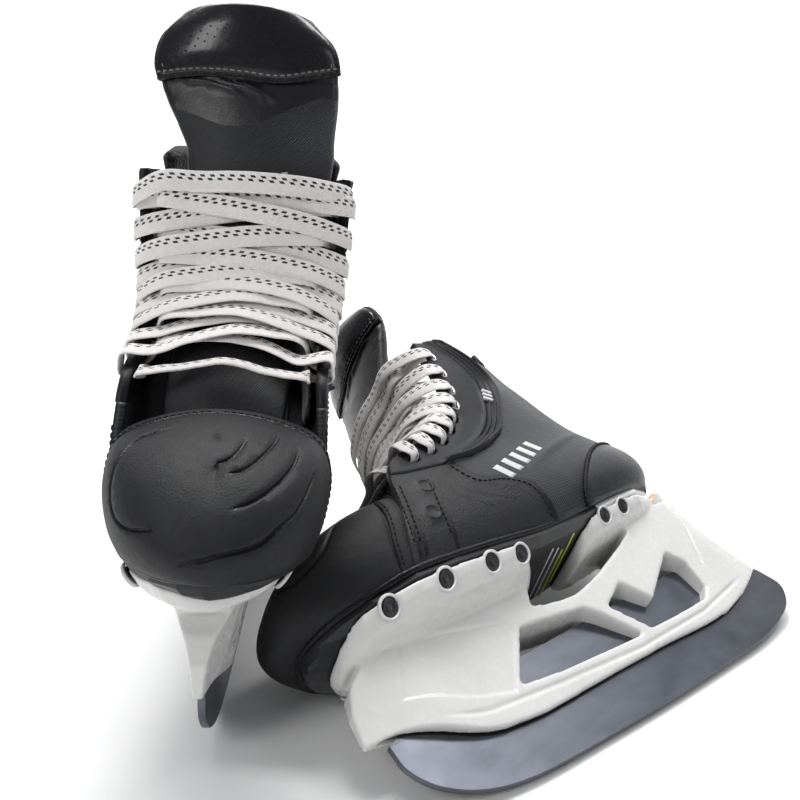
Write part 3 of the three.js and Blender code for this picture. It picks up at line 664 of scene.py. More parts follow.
INK = (0.009, 0.009, 0.0105)
LOOKS = {
    "toe_cap": grained("toe_cap_grain", (0.0125, 0.0128, 0.014), 0.55, grain=1.5, depth=0.10),
    # groove: glossy black, darker than the surfaces round it; in the creases of toe cap and quarter that darker colour
    # is painted shade, on the welt it is plain black gloss.
    "groove": grained("black_gloss_and_groove_shade", (0.003, 0.003, 0.004), 0.3, specular=0.2),
    "vamp": grained("vamp_grain", (0.0105, 0.0108, 0.012), 0.48, grain=0.9, depth=0.14, specular=0.25),
    "quarter": woven("quarter_weave", (0.017, 0.0178, 0.020), 0.46, specular=0.25, coat=0.05, coat_roughness=0.3),
    "counter": woven("counter_weave", (0.009, 0.0095, 0.012), 0.36, pitch=1.6, coat=0.15, coat_roughness=0.2),
    "facing": grained("facing_rubber", (0.016, 0.0165, 0.019), 0.52, grain=2.2, depth=0.05),
    "rib": grained("rib_rubber", (0.0055, 0.0057, 0.007), 0.45, grain=2.2, depth=0.05),
    "liner": knitted("liner_mesh", (0.007, 0.007, 0.0078)),
    "guard": grained("guard_rubber", INK, 0.5, grain=1.8, depth=0.08),
    "tongue": ribbed_leather("tongue_leather", (0.0085, 0.0085, 0.010), 0.42),
    "tongue_smooth": grained("tongue_smooth", (0.008, 0.008, 0.0095), 0.36, grain=1.4, depth=0.05, specular=0.35),
    "cap": grained("tongue_cap", (0.006, 0.006, 0.0073), 0.26, grain=1.2, depth=0.03, coat=0.3, coat_roughness=0.12),
    "binding": knitted("binding_tape", (0.005, 0.005, 0.0057)),
    "thread": grained("black_thread", (0.004, 0.004, 0.0047), 0.6, grain=4, depth=0.05),
    "grey_thread": grained("grey_thread", (0.16, 0.15, 0.14), 0.6, grain=4, depth=0.05),
    "lace": braid("lace_braid", (0.84, 0.81, 0.785)),
    "holder": moulded("holder_white", (0.60, 0.597, 0.585), 0.26, coat=0.3, coat_roughness=0.08),
    "wedge": moulded("wedge_white", (0.70, 0.71, 0.70), 0.32, coat=0.2),
    "sole": moulded("sole_satin", (0.014, 0.0145, 0.0165), 0.34, coat=0.15),
    "footbed": knitted("footbed_felt", (0.03, 0.03, 0.034)),
    "blade": steel("runner_steel", (0.135, 0.145, 0.17), 0.36),
    "steel": steel("plain_steel", (0.42, 0.42, 0.44), 0.3, brushed=False),
    "rivet": steel("dark_rivet", (0.055, 0.052, 0.058), 0.34, brushed=False),
    "rim": steel("eyelet_rim", (0.50, 0.50, 0.51), 0.25, brushed=False),
    "bolt": steel("copper_bolt", (0.78, 0.33, 0.17), 0.22, brushed=False),
    "mark": moulded("printed_mark", (0.52, 0.52, 0.53), 0.4),
    "grey_mark": moulded("grey_mark", (0.10, 0.10, 0.11), 0.4),
    "accent": moulded("accent_line", (0.48, 0.58, 0.08), 0.4),
}


# ---------------------------------------------------------------- thread and beads
CAPSULE = [(0.0, 0.55), (0.18, 1.0), (0.5, 1.12), (0.82, 1.0), (1.0, 0.55)]


def stitches(surface, line, lift=0.0, length=2.3, gap=0.9, radius=0.38, slant=0.0):
    """Thread lying along a line of places on a surface, one short capsule for each stitch."""
    fine = even(line, 0.4)
    spots = surface.at(fine, lift)
    normals = surface.normal(fine)
    run = np.concatenate([[0], np.cumsum(np.linalg.norm(np.diff(spots, axis=0), axis=1))])
    rings = []
    for start in np.arange(gap, run[-1] - length, length + gap):
        def spot(distance, table):
            return np.array([np.interp(distance, run, table[:, k]) for k in range(3)])

        a = spot(start, spots)
        b = spot(start + length, spots)
        normal = unit(spot(start + length / 2, normals))
        forward = unit(b - a)
        beside = np.cross(normal, forward)
        forward = unit(forward + slant * beside)
        b = a + forward * length
        beside = np.cross(normal, forward)
        turns = np.linspace(0, 2 * math.pi, 6, endpoint=False)
        tilt = np.outer(np.cos(turns), normal) + np.outer(np.sin(turns), beside)
        rings.append(np.stack([a + (b - a) * t + tilt * radius * r + normal * 0.25 * radius for t, r in CAPSULE]))
    points, faces = [], []
    for ring in rings:
        p, f = tube_grid(ring)
        first = sum(len(q) for q in points)
        points.append(p)
        faces += [tuple(first + k for k in face) for face in f]
    return np.vstack(points), faces


def joined(parts):
    """One set of points and faces from several."""
    points, faces, first = [], [], 0
    for p, f in parts:
        points.append(p)
        faces += [tuple(first + k for k in face) for face in f]
        first += len(p)
    return np.vstack(points), faces


def bead(line, normals, radius, sides=8, flat=1.0, closed=False, twist=0.0):
    """A round cord along a line; flat squeezes it along the normal, twist cuts rope strands into it."""
    p = np.asarray(line, float)
    if closed:
        tangent = unit(np.roll(p, -1, axis=0) - np.roll(p, 1, axis=0))
    else:
        tangent = unit(np.gradient(p, axis=0))
    normal = unit(normals - tangent * np.sum(normals * tangent, axis=1, keepdims=True))
    beside = np.cross(tangent, normal)
    turns = np.linspace(0, 2 * math.pi, sides, endpoint=False)
    run = np.concatenate([[0], np.cumsum(np.linalg.norm(np.diff(p, axis=0), axis=1))])
    rings = []
    for k in range(len(p)):
        strand = 1 + (0.22 * np.cos(2 * turns + run[k] * twist) if twist else 0 * turns)
        ring = np.outer(np.cos(turns) * flat * strand, normal[k]) + np.outer(np.sin(turns) * strand, beside[k])
        rings.append(p[k] + radius * ring)
    if closed:
        rings.append(rings[0])
        points = np.stack(rings[:-1])
        rows = len(points)
        faces = grid_faces(rows, sides, closed=True)
        last = (rows - 1) * sides
        faces += [(last + c, last + (c + 1) % sides, (c + 1) % sides, c) for c in range(sides)]
        return points.reshape(-1, 3), faces
    return tube_grid(np.stack(rings))


# ---------------------------------------------------------------- boot wall
def wall_line(front, mid, heel, back):
    shoulder = [
        heel[0] + 0.72 * (back[0] - heel[0]),
        heel[1] * 0.68,
        heel[2] + 0.72 * (back[1] - heel[2]),
    ]
    half = [front, mid, heel, shoulder]
    medial = [[x, -y, z] for x, y, z in reversed(half)]
    return [*half, [back[0], 0, back[1]], *medial]


def wall_surface(lines, height):
    curves = np.stack([spline(wall_line(*line), 481) for line in lines])
    return Surface(spline(curves, 241), 480, height)


WALL_SURFACE = wall_surface(WALL_LINES, 150)
HALF_WALL = 241  # grid columns of the lateral half


def on_wall(points, medial=False):
    """Places on the wall of points [x, z] of its lateral side, or of the same points on its medial side."""
    p = np.array([(x, 0, z) for x, z in points], float)
    places = WALL_SURFACE.locate(p, (1, 0, 1), HALF_WALL)
    if medial:
        places[:, 0] = WALL_SURFACE.size[0] - places[:, 0]
    return places


def oval(centre, row, forward, length, width, count=16):
    turns = np.linspace(0, 2 * math.pi, count, endpoint=False)
    u = np.sign(np.cos(turns)) * np.abs(np.cos(turns)) ** 0.8 * length / 2
    v = np.sign(np.sin(turns)) * np.abs(np.sin(turns)) ** 0.8 * width / 2
    return centre + np.outer(u, row) + np.outer(v, forward)


def eyelet_frame(i):
    """Steps along and across the eyelet row at eyelet i, in the x-z plane."""
    a = np.array(EYELETS[max(i - 1, 0)], float)
    b = np.array(EYELETS[min(i + 1, len(EYELETS) - 1)], float)
    row = unit(b - a)
    return row, np.array([row[1], -row[0]])


QUARTER_LINE = [(47.6, 141), (38, 124), (19, 121), (5.5, 114), (3, 99.6), (3, 88)]
FAN_GROOVES = [
    [(48, 131), (43, 122), (12, 112)],
    [(53, 130), (51.6, 118), (23, 106)],
    [(60.5, 129), (58, 116), (41, 104.5)],
]
BAND_SEAMS = [[(82, 134), (89, 112), (96, 88)], [(85.5, 134), (92.5, 112), (99.5, 88)], [(64.5, 134), (70, 116), (77, 88)]]
QUARTER_FOLD = [(5, 118), (-16, 131), (-45, 143), (-84, 156)]
FACING_INNER = [
    (47, 140.5), (33, 144.5), (17, 152), (4, 161.5), (-7, 173), (-14.5, 187), (-18, 200), (-17, 214), (-12.5, 228),
    (-5, 243),
]
FACING_OUTER = [
    (47, 138.5), (31, 140.5), (12, 147), (-6.5, 157.2), (-19.5, 170), (-31, 184.5), (-38, 197.5), (-38.8, 208),
    (-34, 221), (-24, 231.5), (-13, 244),
]
FACING_RIBS = [(0.06, 3.0, 1.3), (0.34, 3.2, 1.7), (0.62, 3.4, 1.9), (0.93, 4.6, 3.0)]  # share, width, height
BUTTONS = [(72, 125.5), (79.5, 109)]


def facing_rib(share):
    a = spline(FACING_INNER, 40)
    b = spline(FACING_OUTER, 40)
    return a + (b - a) * share


def boot_wall():
    """Quarter shell, eyestays and heel counter, cut from one surface along their seams."""
    patch = Patch(WALL_SURFACE, 5.0)
    stays, eyelets, vamps = [], [], []
    rounding = (0, 0.5, 1.3, -0.5, -1.3)
    for medial in (False, True):
        stay = on_wall(even(EYESTAY_OUTLINE + EYESTAY_OUTLINE[:1], 3.0), medial)
        patch.draw(stay, rounding, closed=True)
        stays.append(stay)
        for i, place in enumerate(EYELETS):
            row, forward = eyelet_frame(i)
            ring = on_wall(oval(np.array(place), row, forward, *EYELET_SLOT), medial)
            patch.draw(ring, (0, 0.5, 1.2, -1.2), closed=True, step=0.8)
            eyelets.append(ring)
        front = on_wall(even(QUARTER_LINE, 3.0), medial)
        patch.crease(front, 2.4, -1.5, gloss_painted_shade=True)
        edge = 0.0 if not medial else WALL_SURFACE.size[0]
        vamps.append(np.vstack([front, [[edge, 0.0], [edge, 60.0]]]))
        for line in FAN_GROOVES:
            patch.crease(on_wall(spline(line, 14), medial), 2.2, -1.6, fade=0.12, gloss_painted_shade=True)
        for line in BAND_SEAMS:
            patch.crease(on_wall(spline(line, 16), medial), 2.0, -1.3, gloss_painted_shade=True)
        for x, z in BUTTONS:
            ring = oval(np.array([x, z]), np.array([0, 1.0]), np.array([1.0, 0]), 7.6, 7.6, 20)
            patch.crease(on_wall(np.vstack([ring, ring[:1]]), medial), 1.4, 0.45)
        patch.crease(on_wall(spline(QUARTER_FOLD, 20), medial), 7.0, 0.7, fade=0.3)
        for share, width, height in FACING_RIBS:
            patch.crease(on_wall(facing_rib(share), medial), width, height)
    seam = spline(COUNTER_SEAM, 24)
    lateral = on_wall(seam)
    medial = on_wall(seam[::-1], True)
    counter = np.vstack([[lateral[0] * (1, 0)], lateral, medial, [medial[-1] * (1, 0)]])
    patch.draw(counter, rounding)
    patch.triangulate()
    in_stay = [inside(patch.centres, stay) for stay in stays]
    in_counter = inside(patch.centres, counter)
    in_eyelet = np.zeros(len(patch.centres), bool)
    for ring in eyelets:
        in_eyelet |= inside(patch.centres, ring)
    in_vamp = inside(patch.centres, vamps[0]) | inside(patch.centres, vamps[1])
    gloss_painted_shade = patch.in_painted_shade_crease(patch.centres)

    def rounded(outline, base, closed=True, radius=1.3):
        def lift(places):
            d, _ = distance_to(places, outline, closed)
            dip = np.clip(1 - d / radius, 0, 1) ** 2
            holes = np.zeros(len(places))
            for ring in eyelets:
                e, _ = distance_to(places, ring, True)
                holes = np.maximum(holes, np.clip(1 - e / 1.2, 0, 1) ** 2)
            return base + patch.relief(places) - 0.9 * dip - 0.6 * holes

        return lift

    quarter = ~in_counter & ~in_stay[0] & ~in_stay[1]
    # Faces in the flagged grooves take the groove material, painted darker as shade in the creases.
    picks = np.where(gloss_painted_shade, 2, np.where(in_vamp, 1, 0))[quarter]
    points, faces, count = patch.shell(quarter, patch.relief, WALL)
    picks = np.concatenate([picks, np.zeros(len(faces) - count, int)])
    add_piece(
        "quarter_shell", points, faces, [LOOKS["quarter"], LOOKS["vamp"], LOOKS["groove"]], "quarter_shell",
        nodes=["quarter_shell"], picks=picks,
    )
    inner_edge = [np.array([on_wall(facing_rib(0.0), m)])[0] for m in (False, True)]
    for k, side in enumerate(("lateral", "medial")):
        chosen = in_stay[k] & ~in_eyelet
        points, faces, count = patch.shell(chosen, rounded(stays[k], 1.0), WALL)
        panel_edge = inner_edge[k]
        corner = [[0.0 if k == 0 else 480.0, 150.0], [0.0 if k == 0 else 480.0, 30.0]]
        panel = inside(patch.centres[chosen], np.vstack([panel_edge, corner]))
        picks = np.concatenate([np.where(panel, 0, 1), np.ones(len(faces) - count, int)])
        add_piece(
            f"eyestay_{side}", points, faces, [LOOKS["facing"], LOOKS["rib"]], "eyestay",
            nodes=[f"eyestay_{side}"], picks=picks,
        )
    points, faces, _ = patch.shell(in_counter, rounded(counter, 1.0, closed=False), WALL)
    add_piece("heel_counter", points, faces, [LOOKS["counter"]], "heel_counter", nodes=["heel_counter"])
    return patch, eyelets, counter


wall_patch, eyelet_rings, counter_seam = boot_wall()


def wall_trim():
    """Eyelet rims, the corded heel seam and the stitching of the boot wall."""
    count = len(EYELETS)
    rims = []
    for side in (0, 1):
        for i in range(5, count):
            ring = even(np.vstack([eyelet_rings[side * count + i], eyelet_rings[side * count + i][:1]]), 0.7)[:-1]
            rims.append(bead(WALL_SURFACE.at(ring, 1.0), WALL_SURFACE.normal(ring), 0.62, closed=True))
    add_piece("eyelet_rims", *joined(rims), [LOOKS["rim"]], "lock_hook")
    seam = even(counter_seam[1:-1], 0.5)
    add_piece(
        "heel_seam_cord", *bead(WALL_SURFACE.at(seam, 0.9), WALL_SURFACE.normal(seam), 1.25, flat=0.8, twist=2.4),
        [LOOKS["thread"]], "heel_counter",
    )
    threads = []
    for medial in (False, True):
        for line in BAND_SEAMS:
            shifted = on_wall(spline(np.array(line) + (2.0, 0), 20), medial)
            threads.append(stitches(WALL_SURFACE, shifted[2:-2], 0.1))
        quarter = on_wall(spline(np.array(QUARTER_LINE) + (2.6, -1.6), 30), medial)
        threads.append(stitches(WALL_SURFACE, quarter[1:-3], 0.1))
        for share in (0.20, 0.80):
            threads.append(stitches(WALL_SURFACE, on_wall(facing_rib(share), medial), 1.0, length=1.9, gap=0.8, radius=0.3))
        edge = on_wall([(6.5 + x, z + 3.0) for x, z in EYELETS[:-1]], medial)
        threads.append(stitches(WALL_SURFACE, even(edge, 2.0), 1.0, length=1.9, gap=0.8, radius=0.28))
    add_piece("wall_stitching", *joined(threads), [LOOKS["thread"]], "quarter_shell")


wall_trim()


# ---------------------------------------------------------------- toe cap
CAP_GROOVES = [
    ([(116.2, -15.4, 132.7), (129.1, -11.4, 129), (132.4, -8.6, 127.7), (133.2, -4.5, 126.6)], 1.8),
    ([(108, -26, 131), (121.1, -24.1, 130.1), (133.4, -18.8, 127.1), (137.7, -14.8, 125.3), (139.6, -9.1, 124)], 2.0),
    ([(110, -34, 128), (129.7, -32, 123.8), (140.9, -26.5, 120), (148.3, -19.4, 117.1), (152, -11.2, 114.8)], 2.2),
    (
        [(116.2, -40.5, 124.3), (129.9, -38.6, 117.8), (143.3, -33.6, 110.8), (150.3, -28, 108), (155.2, -23, 104.6),
         (159.7, -11.7, 102.6), (158.8, 6.9, 98.2)],
        3.2,
    ),
    (
        [(110.3, 8.9, 134), (112, 18.1, 132.5), (113.5, 27.2, 129), (120.2, 31.3, 124.9), (127.7, 32.9, 117.9),
         (135.5, 31.8, 110.8), (141, 27.5, 106.6), (149.2, 21.3, 106.7), (154.7, 9.3, 109.4)],
        2.4,
    ),
]


def toe_surface():
    """The dome over the toe: columns run round the toe from the medial side, rows from its rim to the top."""
    angles = np.linspace(-math.pi / 2, math.pi / 2, 201)
    c = np.abs(np.cos(angles))
    s = np.abs(np.sin(angles))
    arcs = []
    for (rx, ry, rz), (fx, fz) in zip(CAP_REAR_ARC, CAP_FRONT_ARC):
        side = np.where(np.sin(angles) < 0, -1.04, 1.0)
        y = side * ry * s - TOE_SWING * c
        arcs.append(np.stack([rx + (fx - rx) * c, y, fz + (rz - fz) * s**1.5], axis=1))
    over = [*arcs, arcs[4][::-1], arcs[3][::-1]]
    return Surface(spline(np.stack(over), 15 * 7 + 1)[: 15 * 5 + 1], 210, 92)


TOE_SURFACE = toe_surface()


def toe_cap():
    patch = Patch(TOE_SURFACE, 3.2)
    width, height = TOE_SURFACE.size
    band = 9.0
    for u in (band, width - band):
        patch.crease([(u, 0), (u, height)], 1.8, -0.8, gloss_painted_shade=True)
    for line, groove_width in CAP_GROOVES:
        places = TOE_SURFACE.locate(spline(line, 16), (1, 1, 1))
        patch.crease(places, groove_width, -1.1, fade=0.22, gloss_painted_shade=True)
    patch.triangulate()
    every = np.ones(len(patch.triangles), bool)

    def lift(places):
        from_edge = np.minimum(places[:, 0], width - places[:, 0])
        bead_height = 0.7 * np.clip(1 - np.abs(from_edge - 2.0) / 2.6, 0, 1) ** 0.6
        return patch.relief(places) + bead_height - 0.9 * np.clip(1 - places[:, 1] / 2.0, 0, 1) ** 2

    points, faces, count = patch.shell(every, lift, 3)
    # Faces in the flagged grooves take the groove material, painted darker as shade in the creases.
    gloss_painted_shade = patch.in_painted_shade_crease(patch.centres)
    picks = np.concatenate([np.where(gloss_painted_shade, 1, 0), np.zeros(len(faces) - count, int)])
    made = add_piece(
        "toe_cap", points, faces, [LOOKS["toe_cap"], LOOKS["groove"]], "toe_cap", nodes=["toe_cap"], picks=picks,
    )
    for piece in made.values():
        weld(piece, 0.02)
    threads = [
        stitches(TOE_SURFACE, [(u, 4.0), (u, height - 1)], 0.1, length=2.0, gap=0.9, radius=0.34)
        for u in (band - 2.6, width - band + 2.6)
    ]
    add_piece("toe_stitching", *joined(threads), [LOOKS["thread"]], "toe_cap")


def weld(piece, distance):
    """Joins points closer than distance millimetres, and drops the doubled faces between them."""
    mesh = bmesh.new()
    mesh.from_mesh(piece.data)
    bmesh.ops.remove_doubles(mesh, verts=mesh.verts, dist=distance * MM)
    doubled = [face for face in mesh.faces if all(len(edge.link_faces) > 2 for edge in face.edges)]
    bmesh.ops.delete(mesh, geom=doubled, context="FACES")
    mesh.to_mesh(piece.data)
    mesh.free()


toe_cap()


# ---------------------------------------------------------------- welt, collar and tendon guard
def welt():
    """The rolled edge of the boot along the sole."""
    side = [(x, middle + w + 0.1, z + 0.9) for x, z, w, middle in SOLE_LINE]
    other = [(x, middle - w - 0.1, z + 0.9) for x, z, w, middle in SOLE_LINE]
    ring = np.array(side + other[::-1])
    ring = spline(np.vstack([ring, ring[:1]]), 220)[:-1]
    up = np.tile([0.0, 0.0, 1.0], (len(ring), 1))
    add_piece("welt", *bead(ring, up, 1.7, sides=10, closed=True), [LOOKS["groove"]], "outsole")


welt()

THROAT = [(140, 0), (150, -1), (158, -2), (175, -10), (200, -14), (226, -15), (249, -19), (262, -22)]  # z, x
LINER_LIFT = -WALL - 0.9


def collar():
    """The padded liner: it hangs inside the wall and rolls over above its rim as the ankle collar."""
    surface = wall_surface([*WALL_LINES[1:], COLLAR_LINE], 165)
    rows, columns = 60, 90
    zs, xs = np.array(THROAT, float).T
    grid = []
    for r in range(rows):
        v = 165 * r / (rows - 1)
        half = np.linspace(0, 240, 200)
        line = surface.at(np.stack([half, np.full(200, v)], axis=1), LINER_LIFT)
        limit = np.interp(line[:, 2], zs, xs)
        behind = np.nonzero(line[:, 0] <= limit)[0]
        start = half[behind[0]] if len(behind) else 0.0
        across = np.linspace(start, 480 - start, columns)
        grid.append(np.stack([across, np.full(columns, v)], axis=1))
    places = np.array(grid)
    flat = places.reshape(-1, 2)
    v = flat[:, 1] / 165
    column = np.tile(np.arange(columns), rows)
    from_edge = np.minimum(column, columns - 1 - column)
    rim = np.sqrt(np.clip(1 - smooth_step((v - 0.93) / 0.07) ** 2, 0, 1))
    front = np.sqrt(np.clip(1 - (1 - np.clip(from_edge / 3, 0, 1)) ** 2, 0, 1))
    swell = smooth_step((v - 0.86) / 0.08)
    quilting = 0.6 * np.abs(np.sin(v * 165 * math.pi / 22)) * (1 - swell)
    full = (LINER_THICKNESS / 2 + 1.4 * swell + quilting) * (0.12 + 0.88 * rim * front)
    middle = LINER_LIFT - LINER_THICKNESS / 2 + 1.2 * swell
    outer = surface.at(flat, np.minimum(middle + full, LINER_LIFT + 6 * swell))
    inner = surface.at(flat, middle - full)
    count = rows * columns
    faces = grid_faces(rows, columns)
    faces += [tuple(reversed(f)) for f in grid_faces(rows, columns, first=count)]
    rim_line = (
        [r * columns for r in range(rows)][::-1]
        + list(range(columns))
        + [r * columns + columns - 1 for r in range(rows)]
        + list(range((rows - 1) * columns, rows * columns))[::-1]
    )
    ring = [a for k, a in enumerate(rim_line) if a != rim_line[k - 1]]
    faces += [(b, a, a + count, b + count) for a, b in zip(ring, ring[1:] + ring[:1])]
    made = add_piece("collar", np.vstack([outer, inner]), faces, [LOOKS["liner"]], "liner", nodes=["liner"])


collar()


def tendon_guard():
    """Flexible guard behind the tendon, with flex grooves across it, blending into the shell at its foot."""
    rows, columns = 26, 60
    spread = math.radians(56)
    turn = np.linspace(-spread, spread, columns)
    edge = np.abs(turn) / spread

    def layer(step):
        lines = []
        for k in range(rows):
            height = k / (rows - 1)
            z = GUARD_HINGE_Z + 1.5 * edge + height * (24 - 14 * edge**2)
            groove = 0.7 * np.clip(1 - ((height * 3.2) % 1 - 0.5) ** 2 / 0.02, 0, 1) if step >= 0 else 0.0
            rounding = 1.2 * (np.clip(height * 8 - 7, 0, 1) ** 2 + np.clip(edge * 8 - 7, 0, 1) ** 2)
            out = step + (rounding if step < 0 else -rounding - groove)
            reach = 37 + 2.5 * height + out
            lines.append(np.stack([-47 - reach * np.cos(turn), -(38.5 + out) * np.sin(turn), z], axis=1))
        return np.array(lines)

    outer, inner = layer(0.0), layer(-4.5)
    count = rows * columns
    faces = [tuple(reversed(f)) for f in grid_faces(rows, columns)]
    faces += grid_faces(rows, columns, first=count)
    ring = (
        [r * columns for r in range(rows)][::-1]
        + list(range(1, columns))
        + [r * columns + columns - 1 for r in range(1, rows)]
        + list(range((rows - 1) * columns + 1, rows * columns - 1))[::-1]
    )
    faces += [(a, b, b + count, a + count) for a, b in zip(ring, ring[1:] + ring[:1])]
    points = np.vstack([outer.reshape(-1, 3), inner.reshape(-1, 3)])
    made = add_piece("tendon_guard", points, faces, [LOOKS["guard"]], "tendon_guard", body=None, nodes=["tendon_guard"])
    for prefix, piece in made.items():
        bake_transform(piece)


tendon_guard()


# ---------------------------------------------------------------- tongue
CAP_SEAM_Z = 283
TONGUE_FOLDS = [  # [y, z] of the embossed lines
    ([(40, 268), (25.7, 264.4), (10.4, 259.4), (2, 259.4), (-8.3, 262), (-19.8, 268), (-38, 277)], 2.2, -1.2),
    ([(30, 264), (10.2, 255.2), (-6.7, 249), (-22.8, 241), (-23.4, 222)], 2.0, -1.1),
    ([(35.5, 268), (26.7, 255.3), (18.9, 243.1), (6.6, 234), (-4.7, 227), (-17.3, 220)], 2.2, -1.2),
    ([(30, 280), (17, 279.2), (1.3, 275)], 3.0, 1.2),
    ([(14, 280.5), (5.7, 279), (-9.2, 274.4)], 2.6, 1.2),
    ([(6, 280.5), (-0.6, 278.9), (-16.2, 272)], 2.4, 1.1),
    ([(34, 262), (27, 250), (24, 236), (12, 224)], 5.0, 0.8),
]
CAP_DOTS = [(28 - 4.6 * k - 1.4 * r, 292.5 + 2.2 * k + 3.4 * r) for r in range(3) for k in range(6)]


def tongue_width(z):
    lower = np.interp(z, [130, 190, 215, 245], [26.5, 30, 33, 36])
    upper = np.where(z < 290, 36 + 9 * smooth_step((z - 245) / 45), 45 - 15 * np.clip((z - 290) / 26, 0, 1) ** 2)
    return np.where(z < 245, lower, upper)


def tongue_lean(z):
    """How far the tongue's middle lies towards the medial side."""
    return np.interp(z, [140, 190, 225, 250, 288], [0, 3, 7, 8, 0])


def tongue_sag(z):
    return np.where(z < 247, TONGUE_SAG, TONGUE_SAG + 4 * (z - 247) / 69)


def tongue_surface():
    line = spline([(x, 0, z) for x, z in TONGUE_LINE + TONGUE_TOP_LINE], 260)
    tangent = unit(np.gradient(line, axis=0))
    back = np.stack([-tangent[:, 2], np.zeros(260), tangent[:, 0]], axis=1)
    share = np.linspace(-1, 1, 101)
    z = line[:, 2]
    depth = tongue_sag(z)[:, None] * share[None] ** 2
    grid = line[:, None] + back[:, None] * depth[..., None]
    grid[..., 1] += tongue_width(z)[:, None] * share[None] - tongue_lean(z)[:, None]
    return Surface(grid, 80, 235)


TONGUE_SURFACE = tongue_surface()


def on_tongue(points):
    return TONGUE_SURFACE.locate([(0, y, z) for y, z in points], (0, 1, 1))


def tongue():
    patch = Patch(TONGUE_SURFACE, 3.6)
    width, height = TONGUE_SURFACE.size
    for line, fold_width, top in TONGUE_FOLDS:
        patch.crease(on_tongue(spline(line, 18)), fold_width, top, fade=0.12)
    seam = on_tongue(spline([(43, 281), (22, 283), (2, 282.6), (-16, 281.6), (-33, 286), (-44, 289)], 24))
    seam[0, 0], seam[-1, 0] = width, 0.0
    patch.draw(seam, (-1.8, -0.8, 0, 0.8, 1.8, 4))
    for offset in (1.0, 2.2, 4.0):
        patch.draw([(offset, 0), (offset, height)])
        patch.draw([(width - offset, 0), (width - offset, height)])
        patch.draw([(0, height - offset), (width, height - offset)])
    patch.triangulate()
    cap_outline = np.vstack([seam, [[0.0, height], [width, height]]])

    def lift(places):
        d, _ = distance_to(places, seam)
        on_cap = inside(places, cap_outline)
        edge = np.minimum(np.minimum(places[:, 0], width - places[:, 0]), np.minimum(places[:, 1], height - places[:, 1]))
        rounding = np.clip(1 - edge / 3.2, 0, 1) ** 2
        crown = 2.6 * np.clip(1 - ((places[:, 0] - width / 2) / (width / 2)) ** 2, 0, 1) ** 0.5
        pad = np.where(on_cap, 1.5 * smooth_step(d / 1.8) + crown * smooth_step(d / 14), -0.7 * np.exp(-d / 3))
        wrinkle = 0.5 * np.sin(places[:, 1] * 0.9 + places[:, 0] * 0.12) * np.exp(-(d / 9) ** 2) * ~on_cap
        return patch.relief(places) + pad + wrinkle - 1.8 * rounding

    points, faces, count = patch.shell(np.ones(len(patch.triangles), bool), lift, TONGUE_THICKNESS - 0.8)
    cap_faces = inside(patch.centres, cap_outline)
    fold = on_tongue(spline(TONGUE_FOLDS[0][0], 18))
    smooth_outline = np.vstack([[[width, fold[0, 1]]], fold, [[0.0, fold[-1, 1]], [0.0, height], [width, height]]])
    smooth_faces = inside(patch.centres, smooth_outline)
    picks = np.where(cap_faces, 2, np.where(smooth_faces, 1, 0))
    picks = np.concatenate([picks, np.full(len(faces) - count, 3)])
    made = add_piece(
        "tongue", points, faces, [LOOKS["tongue"], LOOKS["tongue_smooth"], LOOKS["cap"], LOOKS["liner"]],
        "tongue_top", body=None, nodes=["tongue_lower", "tongue_top"], picks=picks,
    )
    for prefix, piece in made.items():
        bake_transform(piece)
    rim = np.vstack([[[width, seam[0, 1]], [width, height]], [[0.0, height], [0.0, seam[-1, 1]]]])
    rim = even(rim, 1.5)
    inset = np.clip(rim, (0.9, 0), (width - 0.9, height - 0.9))
    tape = bead(TONGUE_SURFACE.at(inset, -1.6), TONGUE_SURFACE.normal(inset), 2.0, sides=10, flat=1.5)
    tape2 = bead(TONGUE_SURFACE.at(even(seam, 1.2), 0.7), TONGUE_SURFACE.normal(even(seam, 1.2)), 0.9, flat=0.8)
    add_piece("tongue_binding", *joined([tape, tape2]), [LOOKS["binding"]], "tongue_top", body="tongue_flap")
    border = np.clip(rim, (4.2, 0), (width - 4.2, height - 4.2))
    threads = [
        stitches(TONGUE_SURFACE, even(border, 2.0), 1.6, length=2.2, gap=1.2),
        stitches(TONGUE_SURFACE, seam + (0, 2.6), 1.7, length=2.2, gap=1.2),
    ]
    add_piece("cap_stitching", *joined(threads), [LOOKS["grey_thread"]], "tongue_top", body="tongue_flap")
    dots = []
    for y, z in CAP_DOTS:
        place = on_tongue([(y, z)])
        spot = TONGUE_SURFACE.at(place, 4.05)[0]
        normal = TONGUE_SURFACE.normal(place)[0]
        dots.append(bead(np.stack([spot - normal * 1.4, spot]), np.tile([0.0, 1.0, 0.3], (2, 1)), 0.42))
    add_piece("cap_dots", *joined(dots), [LOOKS["thread"]], "tongue_top", body="tongue_flap")


tongue()


# ---------------------------------------------------------------- lace
def wall_point(x, z):
    """Half width of the boot at (x, z) of its side."""
    return float(WALL_SURFACE.at(on_wall([(x, z)]), 0)[0, 1])


def lace_at(i, hand, forward_by, out_by):
    row, forward = eyelet_frame(i)
    x, z = np.array(EYELETS[i], float) + forward * forward_by
    return np.array([x, hand * (wall_point(x, z) + out_by), z]), np.array([row[0], 0, row[1]])


def lace_out(i, hand):
    """Up through eyelet i from inside, and over the eyestay's front edge."""
    stops = [
        (2.2, -WALL - 2.6, LACE_WIDTH), (0, -WALL / 2, LACE_WIDTH), (1.5, 1 + LACE_CLEAR, LACE_WIDTH),
        (6.5, 1 + LACE_CLEAR, LACE_CROSSING_WIDTH), (EYELET_SETBACK + 4.4, 1.2, LACE_CROSSING_WIDTH),
    ]
    return [(*lace_at(i, hand, forward, out), width) for forward, out, width in stops]


